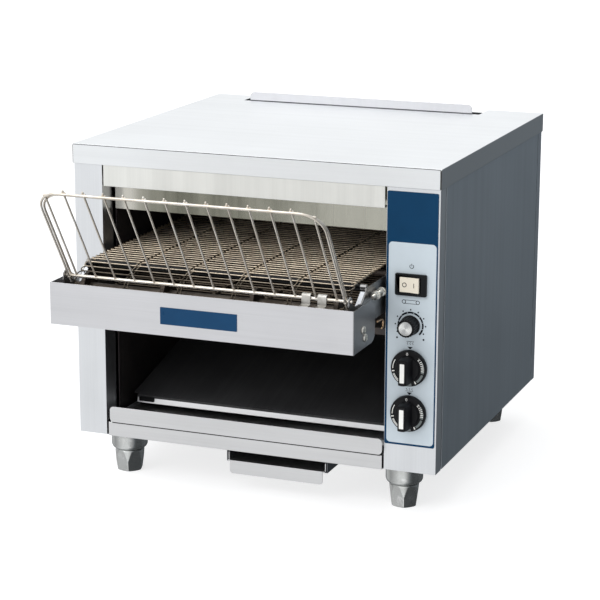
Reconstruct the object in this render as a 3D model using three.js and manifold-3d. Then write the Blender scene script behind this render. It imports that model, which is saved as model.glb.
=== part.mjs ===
// Counter-top conveyor pizza oven: folded stainless cabinet, wire conveyor on two shafts driven by a
// chain from a gear motor, heater rods above and between the belt runs, a return chute under the belt,
// a tilting feed rack, crumb and drip trays, and four levelling feet.
// Millimetres. +X is the operator's right, +Y runs back into the oven, +Z is up.
// The cabinet's front face is y = 0 and the floor is z = 0 while modelling; the whole group is then
// moved back so that the origin lies at the bottom centre of the overall box.
import * as THREE from "three";
import { mergeVertices } from "three/addons/utils/BufferGeometryUtils.js";
import Module from "manifold-3d";

const wasm = await Module();
wasm.setup();

// ---- driving dimensions ---------------------------------------------------------------------
const BODY_W = 500; // cabinet width
const BODY_D = 477; // cabinet depth
const BODY_Z0 = 58; // underside of the cabinet above the floor
const BODY_TOP = 449.65; // outside of the top cover
const SHEET = 1.5; // cabinet sheet
const GAP = 0.3; // clearance between separate pieces
const LIP = 26; // depth of the top cover's lip
const OPEN_L = -210; // left edge of the front opening
const OPEN_R = 181; // right edge of the front opening, inner edge of the control column
const COLUMN_WRAP = 22; // how far each front column wraps round the side
const REAR_WRAP = 17; // how far the rear panel wraps round the side
const CHAMBER_L = -208.3; // outside of the left chamber wall
const CHAMBER_R = 179.9; // outside of the right chamber wall
const BELT_X0 = -197.5;
const BELT_X1 = 168.5;
const BELT_TOP = 316;
const BELT_T = 1.8;
const FRONT_SHAFT = [-92.5, 284.5]; // y, z
const REAR_SHAFT = [350, 294]; // y, z
const BELT_R = 22; // outside radius of the belt round each shaft
const NOSE_BREAK_Y = -70; // where the belt starts to slope down to the nose
const KNOB_X = 214.1; // centre line of the controls
const KNOB_Z = { top: 195.8, bottom: 136.6, speed: 250.7, power: 302.5 };
const HEAT_KNOB_D = 47;
const RACK_PIVOT = [-118, 304]; // y, z of the feed rack's bottom rail
const RACK_LEAN = 34; // degrees forward of upright
const RACK_L = 146;
const RACK_X0 = -200;
const RACK_X1 = 173;
const FEET = [
  ["front_left", -196, 40],
  ["front_right", 196, 40],
  ["rear_left", -196, 437],
  ["rear_right", 196, 437],
];
const SOCKET_R = 24.25;
const ADJUSTER_R = 19.7;
const ORIGIN_Y = 145.33; // middle of the overall depth

// ---- geometry helpers -----------------------------------------------------------------------
function solid(geometry) {
  const g = geometry.clone();
  g.deleteAttribute("normal");
  g.deleteAttribute("uv");
  const m = mergeVertices(g, 1e-4);
  return new wasm.Manifold(
    new wasm.Mesh({
      numProp: 3,
      vertProperties: new Float32Array(m.attributes.position.array),
      triVerts: new Uint32Array(m.index.array),
    }),
  );
}
const box = (x0, x1, y0, y1, z0, z1) =>
  solid(
    new THREE.BoxGeometry(x1 - x0, y1 - y0, z1 - z0).translate(
      (x0 + x1) / 2,
      (y0 + y1) / 2,
      (z0 + z1) / 2,
    ),
  );
// Extrudes an outline (and holes) along an axis: "x" takes (y, z), "y" takes (x, z), "z" takes (x, y).
function prism(axis, outline, a, b, holes = [], curveSegments = 8) {
  const shape =
    outline instanceof THREE.Shape
      ? outline
      : new THREE.Shape(outline.map(([u, v]) => new THREE.Vector2(u, v)));
  for (const h of holes) {
    shape.holes.push(
      h instanceof THREE.Path
        ? h
        : new THREE.Path(h.map(([u, v]) => new THREE.Vector2(u, v))),
    );
  }
  const g = new THREE.ExtrudeGeometry(shape, {
    depth: b - a,
    bevelEnabled: false,
    curveSegments,
  });
  if (axis === "x") g.applyMatrix4(new THREE.Matrix4().set(0, 0, 1, a, 1, 0, 0, 0, 0, 1, 0, 0, 0, 0, 0, 1));
  if (axis === "y") g.applyMatrix4(new THREE.Matrix4().set(1, 0, 0, 0, 0, 0, -1, b, 0, 1, 0, 0, 0, 0, 0, 1));
  if (axis === "z") g.applyMatrix4(new THREE.Matrix4().makeTranslation(0, 0, a));
  return solid(g);
}
// A cylinder along an axis; c holds the two cross coordinates in x, y, z order.
function rod(axis, r, a, b, c, n = 12, r2 = r) {
  const g = new THREE.CylinderGeometry(r2, r, b - a, n);
  if (axis === "x") g.rotateZ(-Math.PI / 2).translate((a + b) / 2, c[0], c[1]);
  if (axis === "y") g.translate(c[0], (a + b) / 2, c[1]);
  if (axis === "z") g.rotateX(Math.PI / 2).translate(c[0], c[1], (a + b) / 2);
  return solid(g);
}
const circle = (u, v, r, n = 16) =>
  Array.from({ length: n }, (_, i) => {
    const t = (2 * Math.PI * (i + 0.5)) / n;
    return [u + r * Math.cos(t), v + r * Math.sin(t)];
  });
// The closed outline of a sheet of thickness t that follows a polyline, thickened to its left.
function sheet(points, t) {
  const n = points.length;
  const off = [];
  for (let i = 0; i < n; i++) {
    const d0 = i > 0 ? dir(points[i - 1], points[i]) : dir(points[0], points[1]);
    const d1 = i < n - 1 ? dir(points[i], points[i + 1]) : d0;
    const n0 = [-d0[1], d0[0]];
    const n1 = [-d1[1], d1[0]];
    const k = 1 + n0[0] * n1[0] + n0[1] * n1[1];
    off.push([
      points[i][0] + (t * (n0[0] + n1[0])) / k,
      points[i][1] + (t * (n0[1] + n1[1])) / k,
    ]);
  }
  return [...points, ...off.reverse()];
}
function dir(a, b) {
  const l = Math.hypot(b[0] - a[0], b[1] - a[1]);
  return [(b[0] - a[0]) / l, (b[1] - a[1]) / l];
}
function roundedRect(x0, x1, z0, z1, r, corners = [1, 1, 1, 1], n = 4) {
  // corners: bottom left, bottom right, top right, top left
  const pts = [];
  const put = (cx, cz, from, on, px, pz) => {
    if (!on) return pts.push([px, pz]);
    for (let i = 0; i <= n; i++) {
      const a = from + ((Math.PI / 2) * i) / n;
      pts.push([cx + r * Math.cos(a), cz + r * Math.sin(a)]);
    }
  };
  put(x0 + r, z0 + r, Math.PI, corners[0], x0, z0);
  put(x1 - r, z0 + r, 1.5 * Math.PI, corners[1], x1, z0);
  put(x1 - r, z1 - r, 0, corners[2], x1, z1);
  put(x0 + r, z1 - r, 0.5 * Math.PI, corners[3], x0, z1);
  return pts;
}
const union = (...list) => list.reduce((a, b) => a.add(b));
const cut = (a, ...list) => list.reduce((x, y) => x.subtract(y), a);

const oven = new THREE.Group();
function piece(name, s, color, roughness = 0.35, metalness = 1) {
  const m = s.getMesh();
  const v = new Float32Array(m.numVert * 3);
  for (let i = 0; i < m.numVert; i++)
    v.set(m.vertProperties.subarray(i * m.numProp, i * m.numProp + 3), i * 3);
  const g = new THREE.BufferGeometry();
  g.setAttribute("position", new THREE.BufferAttribute(v, 3));
  g.setIndex(new THREE.BufferAttribute(new Uint32Array(m.triVerts), 1));
  g.computeVertexNormals();
  const mesh = new THREE.Mesh(
    g,
    new THREE.MeshStandardMaterial({ color, roughness, metalness }),
  );
  mesh.name = name;
  oven.add(mesh);
}
const STEEL = 0xb9bec6;
const DARK_STEEL = 0x3a3d42;
const INSIDE = 0x54504c;
const W2 = BODY_W / 2;
const COLUMN_TOP = BODY_TOP - 1.2 - 3; // the columns and panels end just under the cover

// ---- cabinet --------------------------------------------------------------------------------
// Bottom pan: floor with a folded rim on three sides, foot plates welded under its corners.
{
  const x = W2 - SHEET - GAP;
  let pan = box(-x, x, 2.2, BODY_D - SHEET - GAP, BODY_Z0, BODY_Z0 + 1.5);
  pan = cut(
    pan,
    box(OPEN_L - 2, OPEN_R + 2, 0, 21, 50, 62),
    box(OPEN_L - 2, OPEN_L + 0.4, 0, 30.5, 50, 62),
    box(OPEN_R - 0.4, OPEN_R + 2, 0, 32.5, 50, 62),
  );
  const rear = BODY_D - SHEET - GAP;
  pan = pan.add(prism("z", sheet([[-x, 24], [-x, rear], [x, rear], [x, 24]].reverse(), 1.5), BODY_Z0 + 0.7, BODY_Z0 + 12));
  for (const [, fx, fy] of FEET) {
    const x0 = fx < 0 ? -228 : 114;
    const y1 = Math.min(fy + 32, 470);
    pan = union(
      pan,
      box(x0, x0 + 114, Math.max(fy - 32, 34), y1, BODY_Z0 - 2, BODY_Z0 + 0.5),
      box(x0, x0 + 114, fy - 34, Math.max(fy - 32, 34) + 1, BODY_Z0 - 2, BODY_Z0 - 0.8),
    );
  }
  for (let i = 0; i < 5; i++)
    pan = cut(pan, box(190, 240, 150 + i * 22, 158 + i * 22, 50, 62)); // cooling slots under the controls
  piece("base_pan", pan, STEEL);
}
// Left front column: return flange into the opening, front face, wrap round the side.
piece(
  "front_column_left",
  prism("z", sheet([[OPEN_L, 30], [OPEN_L, 0], [-W2, 0], [-W2, COLUMN_WRAP]].reverse(), SHEET), BODY_Z0, COLUMN_TOP),
  STEEL,
);
// Right front column carries the controls: cut-outs for the switch body and three shafts.
{
  let c = prism("z", sheet([[OPEN_R, 32], [OPEN_R, 0], [W2, 0], [W2, COLUMN_WRAP]], SHEET), BODY_Z0, COLUMN_TOP);
  c = cut(
    c,
    box(195.5, 232.5, -5, 5, KNOB_Z.power - 11.5, KNOB_Z.power + 11.5),
    rod("y", 5, -5, 5, [KNOB_X, KNOB_Z.speed], 12),
    rod("y", 5, -5, 5, [KNOB_X, KNOB_Z.top], 12),
    rod("y", 5, -5, 5, [KNOB_X, KNOB_Z.bottom], 12),
  );
  piece("front_column_right", c, STEEL);
}
// Printed control panel laid on the right column.
piece(
  "control_overlay",
  prism(
    "y",
    roundedRect(OPEN_R + 0.7, 247.8, 93.2, 419, 2),
    -0.9,
    -GAP,
    [
      [[195.5, 291], [232.5, 291], [232.5, 314], [195.5, 314]].reverse(),
      circle(KNOB_X, KNOB_Z.speed, 5, 12).reverse(),
      circle(KNOB_X, KNOB_Z.top, 5, 12).reverse(),
      circle(KNOB_X, KNOB_Z.bottom, 5, 12).reverse(),
    ],
  ),
  0x1d4268,
  0.5,
  0,
);
for (const [name, s] of [["side_panel_left", -1], ["side_panel_right", 1]]) {
  const p = [
    [s * (W2 - 12), COLUMN_WRAP + 4],
    [s * W2, COLUMN_WRAP + 4],
    [s * W2, BODY_D - REAR_WRAP - 2],
    [s * (W2 - 12), BODY_D - REAR_WRAP - 2],
  ];
  const x = s * (W2 - SHEET - GAP - 1.5 - GAP - 1.5);
  // the inward flanges start above the base pan's rim
  let b = prism("z", sheet(s > 0 ? p : p.reverse(), SHEET), BODY_Z0, COLUMN_TOP);
  b = cut(
    b,
    box(Math.min(s * (W2 - SHEET), x - s * 20), Math.max(s * (W2 - SHEET), x - s * 20), 0, BODY_D, BODY_Z0 - 1, BODY_Z0 + 13),
  );
  piece(name, b, s > 0 ? 0x8a8e94 : STEEL);
}
// Rear panel with side wraps, cooling louvres by the motor and the cord gland's hole.
{
  let p = prism(
    "z",
    sheet([[-W2, BODY_D - REAR_WRAP], [-W2, BODY_D], [W2, BODY_D], [W2, BODY_D - REAR_WRAP]].reverse(), SHEET),
    BODY_Z0,
    COLUMN_TOP,
  );
  for (let i = 0; i < 6; i++)
    p = cut(p, box(188, 238, BODY_D - 6, BODY_D + 3, 240 + i * 16, 244 + i * 16));
  p = cut(p, rod("y", 9, BODY_D - 6, BODY_D + 3, [214, 96], 16));
  piece("rear_panel", p, STEEL);
}
// Top cover: a shallow inverted tray, notched at the rear for the hot air outlet.
{
  const x = W2 + 1.5;
  let c = box(-x, x, -1.5, BODY_D + 1.5, BODY_TOP - LIP, BODY_TOP);
  c = cut(c, box(-x + 1.2, x - 1.2, -GAP, BODY_D + GAP, BODY_TOP - LIP - 1, BODY_TOP - 1.2));
  c = cut(c, box(-191, 170, 431, BODY_D + 5, BODY_TOP - 13, BODY_TOP + 1));
  piece("top_cover", c, 0xdfe2e5, 0.3);
}
// Upright flap in front of the outlet, bent up from a foot under the cover.
piece(
  "vent_deflector",
  union(
    prism("y", roundedRect(-181, 159.5, BODY_TOP - 4, BODY_TOP + 13, 7, [0, 0, 1, 1]), 432, 433.2),
    box(-181, 159.5, 420, 433.2, BODY_TOP - 4, BODY_TOP - 2.8),
  ),
  STEEL,
);
// Fixed panel over the front opening.
piece(
  "upper_front_panel",
  prism("x", sheet([[14, 396], [0, 396], [0, COLUMN_TOP], [10, COLUMN_TOP]].reverse(), SHEET), -208.2, 178.2),
  STEEL,
);
// Second baffle behind it, hanging lower to hold the heat in.
piece(
  "heat_baffle",
  prism("x", sheet([[40, 361], [30, 361], [30, 428]].reverse(), 1.2), -206.3, 177.8),
  0x9fa197,
  0.25,
);
piece(
  "bottom_front_rail",
  prism("x", sheet([[20.5, 57.5], [-2, 57.5], [-2, 76.3], [20.5, 76.3]].reverse(), SHEET), -206.5, 179.2),
  STEEL,
);

// ---- heating chamber ------------------------------------------------------------------------
// Side walls with shaft and heater holes and an inward foot flange that carries the crumb tray.
const HEATERS = {
  upper_heater_front: [120, 395, 5],
  upper_heater_rear: [300, 395, 5],
  lower_heater_front: [100, 289, 4],
  lower_heater_rear: [230, 289, 4],
};
{
  const wall = (x, inward) => {
    const x1 = x + 1.5;
    let w = box(x, x1, 34, 449, 60.5, 430);
    w = union(w, inward > 0 ? box(x, x + 12, 34, 430, 74.6, 76.1) : box(x1 - 12, x1, 34, 430, 74.6, 76.1));
    return w;
  };
  piece("chamber_wall_left", wall(CHAMBER_L, 1), INSIDE, 0.5);
  let r = wall(CHAMBER_R - 1.5, -1);
  r = cut(r, rod("x", 7, 170, 185, REAR_SHAFT, 16));
  for (const [y, z, hr] of Object.values(HEATERS)) r = cut(r, rod("x", hr + 0.6, 170, 185, [y, z], 12));
  piece("chamber_wall_right", r, INSIDE, 0.5);
}
piece("chamber_ceiling", box(-206.4, 178, 34, 426, 430.5, 431.7), INSIDE, 0.5);
// Rear wall: drops behind the belt and curves forward to hand the pizza on to the chute.
piece(
  "chamber_rear_wall",
  prism("x", sheet([[449, 430], [449, 245], [447, 228], [441, 213], [431, 202], [418, 195]], 1.2), -206.4, 178),
  INSIDE,
  0.5,
);
piece(
  "lower_heat_shield",
  prism("x", sheet([[36, 224], [36, 233], [330, 241], [330, 233]].reverse(), 1.2), -203, 174.5),
  INSIDE,
  0.5,
);
// Return chute: slopes forward under the belt and ends in a folded front edge.
{
  let c = prism("x", sheet([[78, 86.3], [70, 86.3], [70, 95], [78, 96.95]], 1.2), -197, 168);
  c = union(c, prism("x", sheet([[74, 95.72], [425, 181.25]], 1.7), -204.5, 176.4));
  piece("discharge_chute", c, 0x33353a, 0.3);
}
for (const [name, [y, z, r]] of Object.entries(HEATERS))
  piece(name, rod("x", r, -206.2, 193, [y, z], 10), 0x4d4641, 0.6);

// ---- conveyor -------------------------------------------------------------------------------
// Welded frame: two side plates with rack ears at the nose, joined by three cross rods that also
// carry the upper belt run.
{
  const outline = [
    [-108, 249],
    [-66, 249],
    [-60, 262],
    [372, 262],
    [372, 303],
    [366, 308.5],
    [-62, 308.5],
    [-63.5, 303],
    [-80, 292],
    [-86, 294],
    [-98, 294],
    [-110, 298],
    [-113, 307],
    [-118, 310],
    [-123, 307],
    [-124, 299],
    [-114, 270],
  ];
  const holes = () => [
    circle(...FRONT_SHAFT, 6.4, 14).reverse(),
    circle(...REAR_SHAFT, 6.4, 14).reverse(),
    circle(...RACK_PIVOT, 2.5, 10).reverse(),
    circle(100, 289, 4.8, 10).reverse(),
    circle(230, 289, 4.8, 10).reverse(),
  ];
  let f = union(
    prism("x", outline, -205.5, -204, holes()),
    prism("x", outline, 175.5, 177, holes()),
  );
  for (const y of [-58, 130, 290]) f = union(f, rod("x", 4, -204.5, 176, [y, 308.3], 10));
  // bright inclined strips beside the belt's nose
  f = union(
    f,
    prism("x", sheet([[-84.5, 286.7], [-62, 302.6]], 1.4), 169.6, 176),
    prism("x", sheet([[-84.5, 286.7], [-62, 302.6]], 1.4), -205, -198.6),
    // threaded spacers that hold the front cover
    rod("x", 4.5, 176, 186.4, [-103.6, 267], 10),
    rod("x", 4.5, 176, 186.4, [-97, 256], 10),
    rod("x", 4.5, -215.4, -204.5, [-103.6, 267], 10),
    rod("x", 4.5, -215.4, -204.5, [-97, 256], 10),
  );
  piece("conveyor_frame", f, 0x8d8c88, 0.4);
}
// Open-topped cover round the nose of the conveyor; it also catches crumbs.
{
  const wing = [
    [-136.8, 243.7],
    [-72, 243.7],
    [-66, 245.3],
    [-61.6, 249.7],
    [-60, 255.7],
    [-60, 289],
    [-79.5, 297.4],
    [-136.8, 297.4],
  ];
  const c = union(
    prism("x", sheet([[-72, 243.5], [-137, 243.5], [-137, 297.6]].reverse(), 1.2), -217, 188),
    prism("x", wing, 186.8, 187.9),
    prism("x", wing, -216.9, -215.8),
  );
  piece("front_cover", c, STEEL, 0.3);
}
// The wire belt as one closed band round both shafts.
{
  const band = (o) => {
    const pts = [];
    const arc = (cy, cz, r, a0, a1, n) => {
      for (let i = 0; i <= n; i++) {
        const a = ((a0 + ((a1 - a0) * i) / n) * Math.PI) / 180;
        pts.push([cy + r * Math.cos(a), cz + r * Math.sin(a)]);
      }
    };
    const r = BELT_R - o;
    arc(...REAR_SHAFT, r, -91.2, 90, 10);
    pts.push([NOSE_BREAK_Y, BELT_TOP - o]);
    arc(...FRONT_SHAFT, r, 109, 268.8, 9);
    return pts;
  };
  piece("conveyor_belt", prism("x", band(0), BELT_X0, BELT_X1, [band(BELT_T).reverse()]), 0x6b5a47, 0.5);
}
// A shaft with four belt wheels, as one turned piece.
function shaft(x0, x1, c) {
  const core = 6;
  const wheel = BELT_R - BELT_T - 0.5;
  const profile = [[0, x0], [core, x0]];
  for (const wx of [-185, -75, 45, 155])
    profile.push([core, wx - 4], [wheel, wx - 3], [wheel, wx + 3], [core, wx + 4]);
  profile.push([core, x1], [0, x1]);
  const g = new THREE.LatheGeometry(profile.map(([r, a]) => new THREE.Vector2(r, a)), 16);
  g.rotateZ(-Math.PI / 2).translate(0, c[0], c[1]);
  return solid(g);
}
piece("front_shaft", shaft(-211, 181, FRONT_SHAFT), 0x9a9a98, 0.35);
piece("rear_shaft", shaft(-206.3, 193.5, REAR_SHAFT), 0x9a9a98, 0.35);
// Belt tensioners: screw with two nuts each side, in front of the cabinet.
for (const [name, x] of [["belt_tensioner_left", -211.6], ["belt_tensioner_right", 183.1]])
  piece(
    name,
    union(
      rod("y", 3, -57, -17, [x, 296], 10),
      rod("y", 5.6, -50, -44, [x, 296], 6),
      rod("y", 5.6, -30, -24, [x, 296], 6),
    ),
    0xd0d0d0,
    0.3,
  );

// ---- drive ----------------------------------------------------------------------------------
const PITCH = 6.35; // roller chain pitch
const TEETH_SHAFT = 24;
const TEETH_MOTOR = 12;
const MOTOR_AXIS = [350, 170];
function sprocket(teeth, c, x0, x1, bore) {
  const r = PITCH / 2 / Math.sin(Math.PI / teeth);
  const pts = [];
  for (let i = 0; i < teeth; i++)
    for (const [da, dr] of [[-0.28, -1.4], [-0.12, 1.3], [0.12, 1.3], [0.28, -1.4]]) {
      const a = (2 * Math.PI * (i + da)) / teeth;
      pts.push([c[0] + (r + dr) * Math.cos(a), c[1] + (r + dr) * Math.sin(a)]);
    }
  return prism("x", pts, x0, x1, bore ? [circle(...c, bore, 14).reverse()] : []);
}
piece("drive_sprocket", sprocket(TEETH_SHAFT, REAR_SHAFT, 186, 189, 6.35), 0x7d7f82, 0.4);
piece(
  "motor_sprocket",
  union(sprocket(TEETH_MOTOR, MOTOR_AXIS, 186, 189), rod("x", 4, 184.5, 206, MOTOR_AXIS, 12)),
  0x7d7f82,
  0.4,
);
{
  const r0 = PITCH / 2 / Math.sin(Math.PI / TEETH_SHAFT);
  const r1 = PITCH / 2 / Math.sin(Math.PI / TEETH_MOTOR);
  const span = REAR_SHAFT[1] - MOTOR_AXIS[1];
  const loop = (o) => {
    const tilt = Math.asin((r0 - r1) / span);
    const pts = [];
    for (let i = 0; i <= 12; i++) {
      const a = -tilt + ((Math.PI + 2 * tilt) * i) / 12;
      pts.push([REAR_SHAFT[0] + (r0 + o) * Math.cos(a), REAR_SHAFT[1] + (r0 + o) * Math.sin(a)]);
    }
    for (let i = 0; i <= 8; i++) {
      const a = Math.PI + tilt + ((Math.PI - 2 * tilt) * i) / 8;
      pts.push([MOTOR_AXIS[0] + (r1 + o) * Math.cos(a), MOTOR_AXIS[1] + (r1 + o) * Math.sin(a)]);
    }
    return pts;
  };
  piece("drive_chain", prism("x", loop(5), 185, 190, [loop(2.2).reverse()]), 0x55575a, 0.5);
}
piece(
  "drive_motor",
  cut(
    union(box(193, 216, 320, 380, 140, 200), rod("x", 26, 215.5, 243, MOTOR_AXIS, 20)),
    rod("x", 4.4, 190, 207, MOTOR_AXIS, 12),
  ),
  0x6f7376,
  0.5,
);

// ---- controls -------------------------------------------------------------------------------
// Heat selector knob: dial with a tall bar grip and a shaft that runs into the regulator.
function heatKnob(z) {
  const r = HEAT_KNOB_D / 2;
  const prof = [
    [0, -1.6], [r - 1, -1.6], [r, -2.4], [r - 0.4, -7.2], [r - 1.4, -8.2], [16, -8.4], [14.5, -11], [0, -11.6],
  ].map(([a, b]) => new THREE.Vector2(a, b));
  const dial = solid(new THREE.LatheGeometry(prof.reverse(), 32).rotateX(0).rotateZ(0));
  const grip = prism("y", [[-5.6, -17.5], [5.6, -17.5], [4, 17.5], [-4, 17.5]].map(([a, b]) => [a, b]), -20, -9)
    .intersect(rod("y", 17.5, -34, -5, [0, 0], 24));
  const bar = union(
    prism("z", [[-7, -9], [-5.2, -30.5], [-4, -32], [4, -32], [5.2, -30.5], [7, -9]], -16, 16),
    grip,
  ).intersect(rod("y", 17.2, -40, -5, [0, 0], 28));
  return union(dial, bar, rod("y", 3, -2, 12, [0, 0], 12)).translate([KNOB_X, 0, z]);
}
piece("top_heat_knob", heatKnob(KNOB_Z.top), 0x17181a, 0.4, 0);
piece("bottom_heat_knob", heatKnob(KNOB_Z.bottom), 0x17181a, 0.4, 0);
// Speed knob: ribbed skirt and body, with a turned aluminium cap in its face.
{
  const ribs = (r0, r1, n) =>
    Array.from({ length: 2 * n }, (_, i) => {
      const a = (Math.PI * (i + 0.5)) / n;
      const r = i % 2 ? r0 : r1;
      return [r * Math.cos(a), r * Math.sin(a)];
    });
  let k = union(
    rod("y", 12.8, -5, -1.6, [0, 0], 32),
    prism("y", ribs(11.1, 11.9, 20), -21, -4.5),
    rod("y", 3, -2, 10, [0, 0], 12),
  );
  k = cut(k, rod("y", 9.2, -23, -19.5, [0, 0], 28));
  piece("speed_knob", k.translate([KNOB_X, 0, KNOB_Z.speed]), 0x17181a, 0.45, 0);
  piece(
    "speed_knob_cap",
    rod("y", 8.85, -22, -19.8, [KNOB_X, KNOB_Z.speed], 28),
    0xe6e6e6,
    0.25,
  );
}
// Switch frame with its body behind the panel, and the rocker that tilts in it about an upright pin.
{
  const z = KNOB_Z.power;
  let b = union(
    prism("y", roundedRect(194, 235, z - 14, z + 14, 2), -4.2, -1.2),
    box(196, 232, -1.5, 27, z - 11, z + 11),
  );
  b = cut(b, box(198.7, 227.2, -8, 12, z - 9.8, z + 9.8));
  piece("power_switch_bezel", b, 0x111214, 0.35, 0);
  const rocker = prism(
    "z",
    [[200.2, -5], [212.95, -5], [225.7, -7.7], [225.7, 0.5], [216, 6], [210, 6], [200.2, 0.5]],
    z - 9.5,
    z + 9.5,
  );
  piece("power_switch_rocker", rocker, 0xefe9d6, 0.4, 0);
}
for (const [name, z] of [["top_heat_regulator", KNOB_Z.top], ["bottom_heat_regulator", KNOB_Z.bottom]])
  piece(
    name,
    cut(
      union(box(KNOB_X - 19, KNOB_X + 19, 2, 40, z - 21, z + 21), box(KNOB_X - 12, KNOB_X + 12, 39, 48, z - 3, z + 3)),
      rod("y", 3.5, 0, 16, [KNOB_X, z], 12),
    ),
    0x2b2b2d,
    0.5,
    0,
  );
piece(
  "speed_potentiometer",
  cut(rod("y", 12, 2, 20, [KNOB_X, KNOB_Z.speed], 20), rod("y", 3.5, 0, 14, [KNOB_X, KNOB_Z.speed], 12)),
  0x77797c,
  0.4,
);
{
  let t = box(196, 232, 210, 270, 60, 80);
  for (let i = 0; i < 5; i++) t = cut(t, box(199, 229, 213 + i * 11.6, 221 + i * 11.6, 72, 82));
  piece("terminal_block", t, 0xd9d4c6, 0.6, 0);
}
// Cord gland through the rear panel; no cord is fitted.
piece(
  "cord_gland",
  cut(
    union(
      rod("y", 8.6, BODY_D - 8, BODY_D + 1, [214, 96], 16),
      rod("y", 13, BODY_D + GAP, BODY_D + 7, [214, 96], 6),
      rod("y", 9.5, BODY_D + 6.5, BODY_D + 18, [214, 96], 16, 9.5),
    ),
    rod("y", 4.2, BODY_D - 12, BODY_D + 22, [214, 96], 12),
  ),
  0x18191b,
  0.6,
  0,
);

// ---- feed rack ------------------------------------------------------------------------------
// Two bent rods sandwich fourteen bars; the bottom rail turns in the ears of the conveyor frame.
{
  const R = 29; // bend radius at the two top corners
  // rack plane coordinates: u along x, v up the rack from the pivot, w outwards
  const bent = (w, z1) => {
    const arc = (cx, cz, a0) => {
      const pts = Array.from({ length: 13 }, (_, i) => {
        const a = ((a0 + 7.5 * i) * Math.PI) / 180;
        return new THREE.Vector3(cx + R * Math.cos(a), w, cz + R * Math.sin(a));
      });
      const curve = new THREE.CatmullRomCurve3(pts);
      const ring = new THREE.Shape(circle(0, 0, 1.5, 8).map(([p, q]) => new THREE.Vector2(p, q)));
      return solid(new THREE.ExtrudeGeometry(ring, { steps: 6, extrudePath: curve, bevelEnabled: false }));
    };
    const x0 = RACK_X0 + 2;
    const x1 = RACK_X1 - 2;
    return union(
      rod("z", 1.5, -8.3, z1 - R + 0.2, [x0, w], 8),
      rod("z", 1.5, -8.3, z1 - R + 0.2, [x1, w], 8),
      arc(x0 + R, z1 - R, 90),
      arc(x1 - R, z1 - R, 0),
      rod("x", 1.5, x0 + R - 0.2, x1 - R + 0.2, [w, z1], 8),
    );
  };
  let rack = union(bent(-2.65, RACK_L + 1.9), bent(2.65, RACK_L - 4.5), rod("x", 2.05, -206.2, 178, [0, 0], 8));
  rack = union(rack, box(RACK_X0 + 0.6, RACK_X0 + 3.4, -3.3, 3.3, -1.2, 1.2), box(RACK_X1 - 3.4, RACK_X1 - 0.6, -3.3, 3.3, -1.2, 1.2));
  for (let i = 0; i < 14; i++) {
    const x = -188 + 26.75 * i;
    const top = i === 0 || i === 13 ? RACK_L - 4 : RACK_L + 5.4;
    rack = union(rack, rod("z", 1.3, -1, top, [x, 0], 8));
  }
  rack = rack.rotate([RACK_LEAN, 0, 0]).translate([0, RACK_PIVOT[0], RACK_PIVOT[1]]);
  piece("feed_rack", rack, 0xc9c4bb, 0.25);
}
// Two clips on the front cover keep the bottom rail down.
for (const [name, x] of [["rack_clip_inner", 115.4], ["rack_clip_outer", 136]]) {
  const y = RACK_PIVOT[0];
  const z = RACK_PIVOT[1];
  piece(
    name,
    prism(
      "x",
      sheet([[-135.3, 292], [-134.4, 296.5], [y - 4.6, z - 7], [y - 4.6, z + 3.2], [y - 3.2, z + 5.6], [y, z + 6.4]].reverse(), 0.9),
      x,
      x + 11.5,
    ),
    0xc8cacc,
    0.4,
  );
}

// ---- trays ----------------------------------------------------------------------------------
// Crumb tray with an upright front lip; its floor rides on the wall flanges.
piece(
  "collection_tray",
  union(
    prism("y", roundedRect(-203, 180, 77.9, 99, 5, [1, 1, 1, 1]), -5, -3.6),
    box(-202, 176, -4, 400, 77.2, 78.4),
    box(-202, -200.8, -4, 400, 77.2, 84.5),
    box(174.8, 176, -4, 400, 77.2, 84.5),
    box(-202, 176, 398.8, 400, 77.2, 84.5),
  ),
  STEEL,
  0.3,
);
// Guide under the cabinet for the drip tray: top plate, two sides with inward lips.
piece(
  "drip_tray_guide",
  prism(
    "y",
    sheet([[-32, 38], [-41, 38], [-41, 57.2], [100.7, 57.2], [100.7, 38], [92, 38]].reverse(), 1.2),
    12,
    402,
  ),
  0x74777b,
  0.4,
);
piece(
  "drip_tray",
  union(
    prism("y", roundedRect(-35, 95, 23, 40.9, 4, [1, 1, 0, 0]), 7.6, 8.8),
    box(-38.5, 98.2, 8, 396, 39.7, 40.9),
    box(-38.5, -37.3, 12, 396, 39.7, 51),
    box(97, 98.2, 12, 396, 39.7, 51),
    box(-38.5, 98.2, 394.8, 396, 39.7, 51),
  ),
  STEEL,
  0.3,
);

// ---- feet -----------------------------------------------------------------------------------
for (const [where, x, y] of FEET) {
  const lathe = (pts, n) =>
    solid(
      new THREE.LatheGeometry(pts.map(([r, z]) => new THREE.Vector2(r, z)), n).rotateX(Math.PI / 2),
    ).translate([x, y, 0]);
  const s = SOCKET_R;
  piece(
    "foot_socket_" + where,
    lathe(
      [[6.6, 54], [6.6, 31], [15, 31], [19.9, 31.5], [22.2, 34], [s, 38.5], [s, 55.6], [0, 55.6], [0, 54], [6.6, 54]],
      24,
    ),
    0xa9adb2,
    0.3,
  );
  const a = ADJUSTER_R;
  let f = lathe(
    [[0, 0], [17.5, 0], [18.6, 1.5], [a, 14], [a, 27.5], [a - 1.2, 30.2], [6, 30.6], [6, 50], [0, 50]],
    24,
  );
  // six flats for a spanner, widest at the floor and running out towards the collar
  const cone = [[0, -1], [17.73, -1], [23.05, 31], [23.05, 60], [0, 60]];
  const flats = solid(
    new THREE.LatheGeometry(cone.map(([r, z]) => new THREE.Vector2(r, z)), 6, (16.5 * Math.PI) / 180).rotateX(Math.PI / 2),
  ).translate([x, y, 0]);
  f = f.intersect(flats);
  piece("foot_adjuster_" + where, f, 0x9b9ea2, 0.3);
}

oven.position.set(0, -ORIGIN_Y, 0);
oven.updateMatrixWorld(true);

export default oven;
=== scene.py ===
import math
import random

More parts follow.
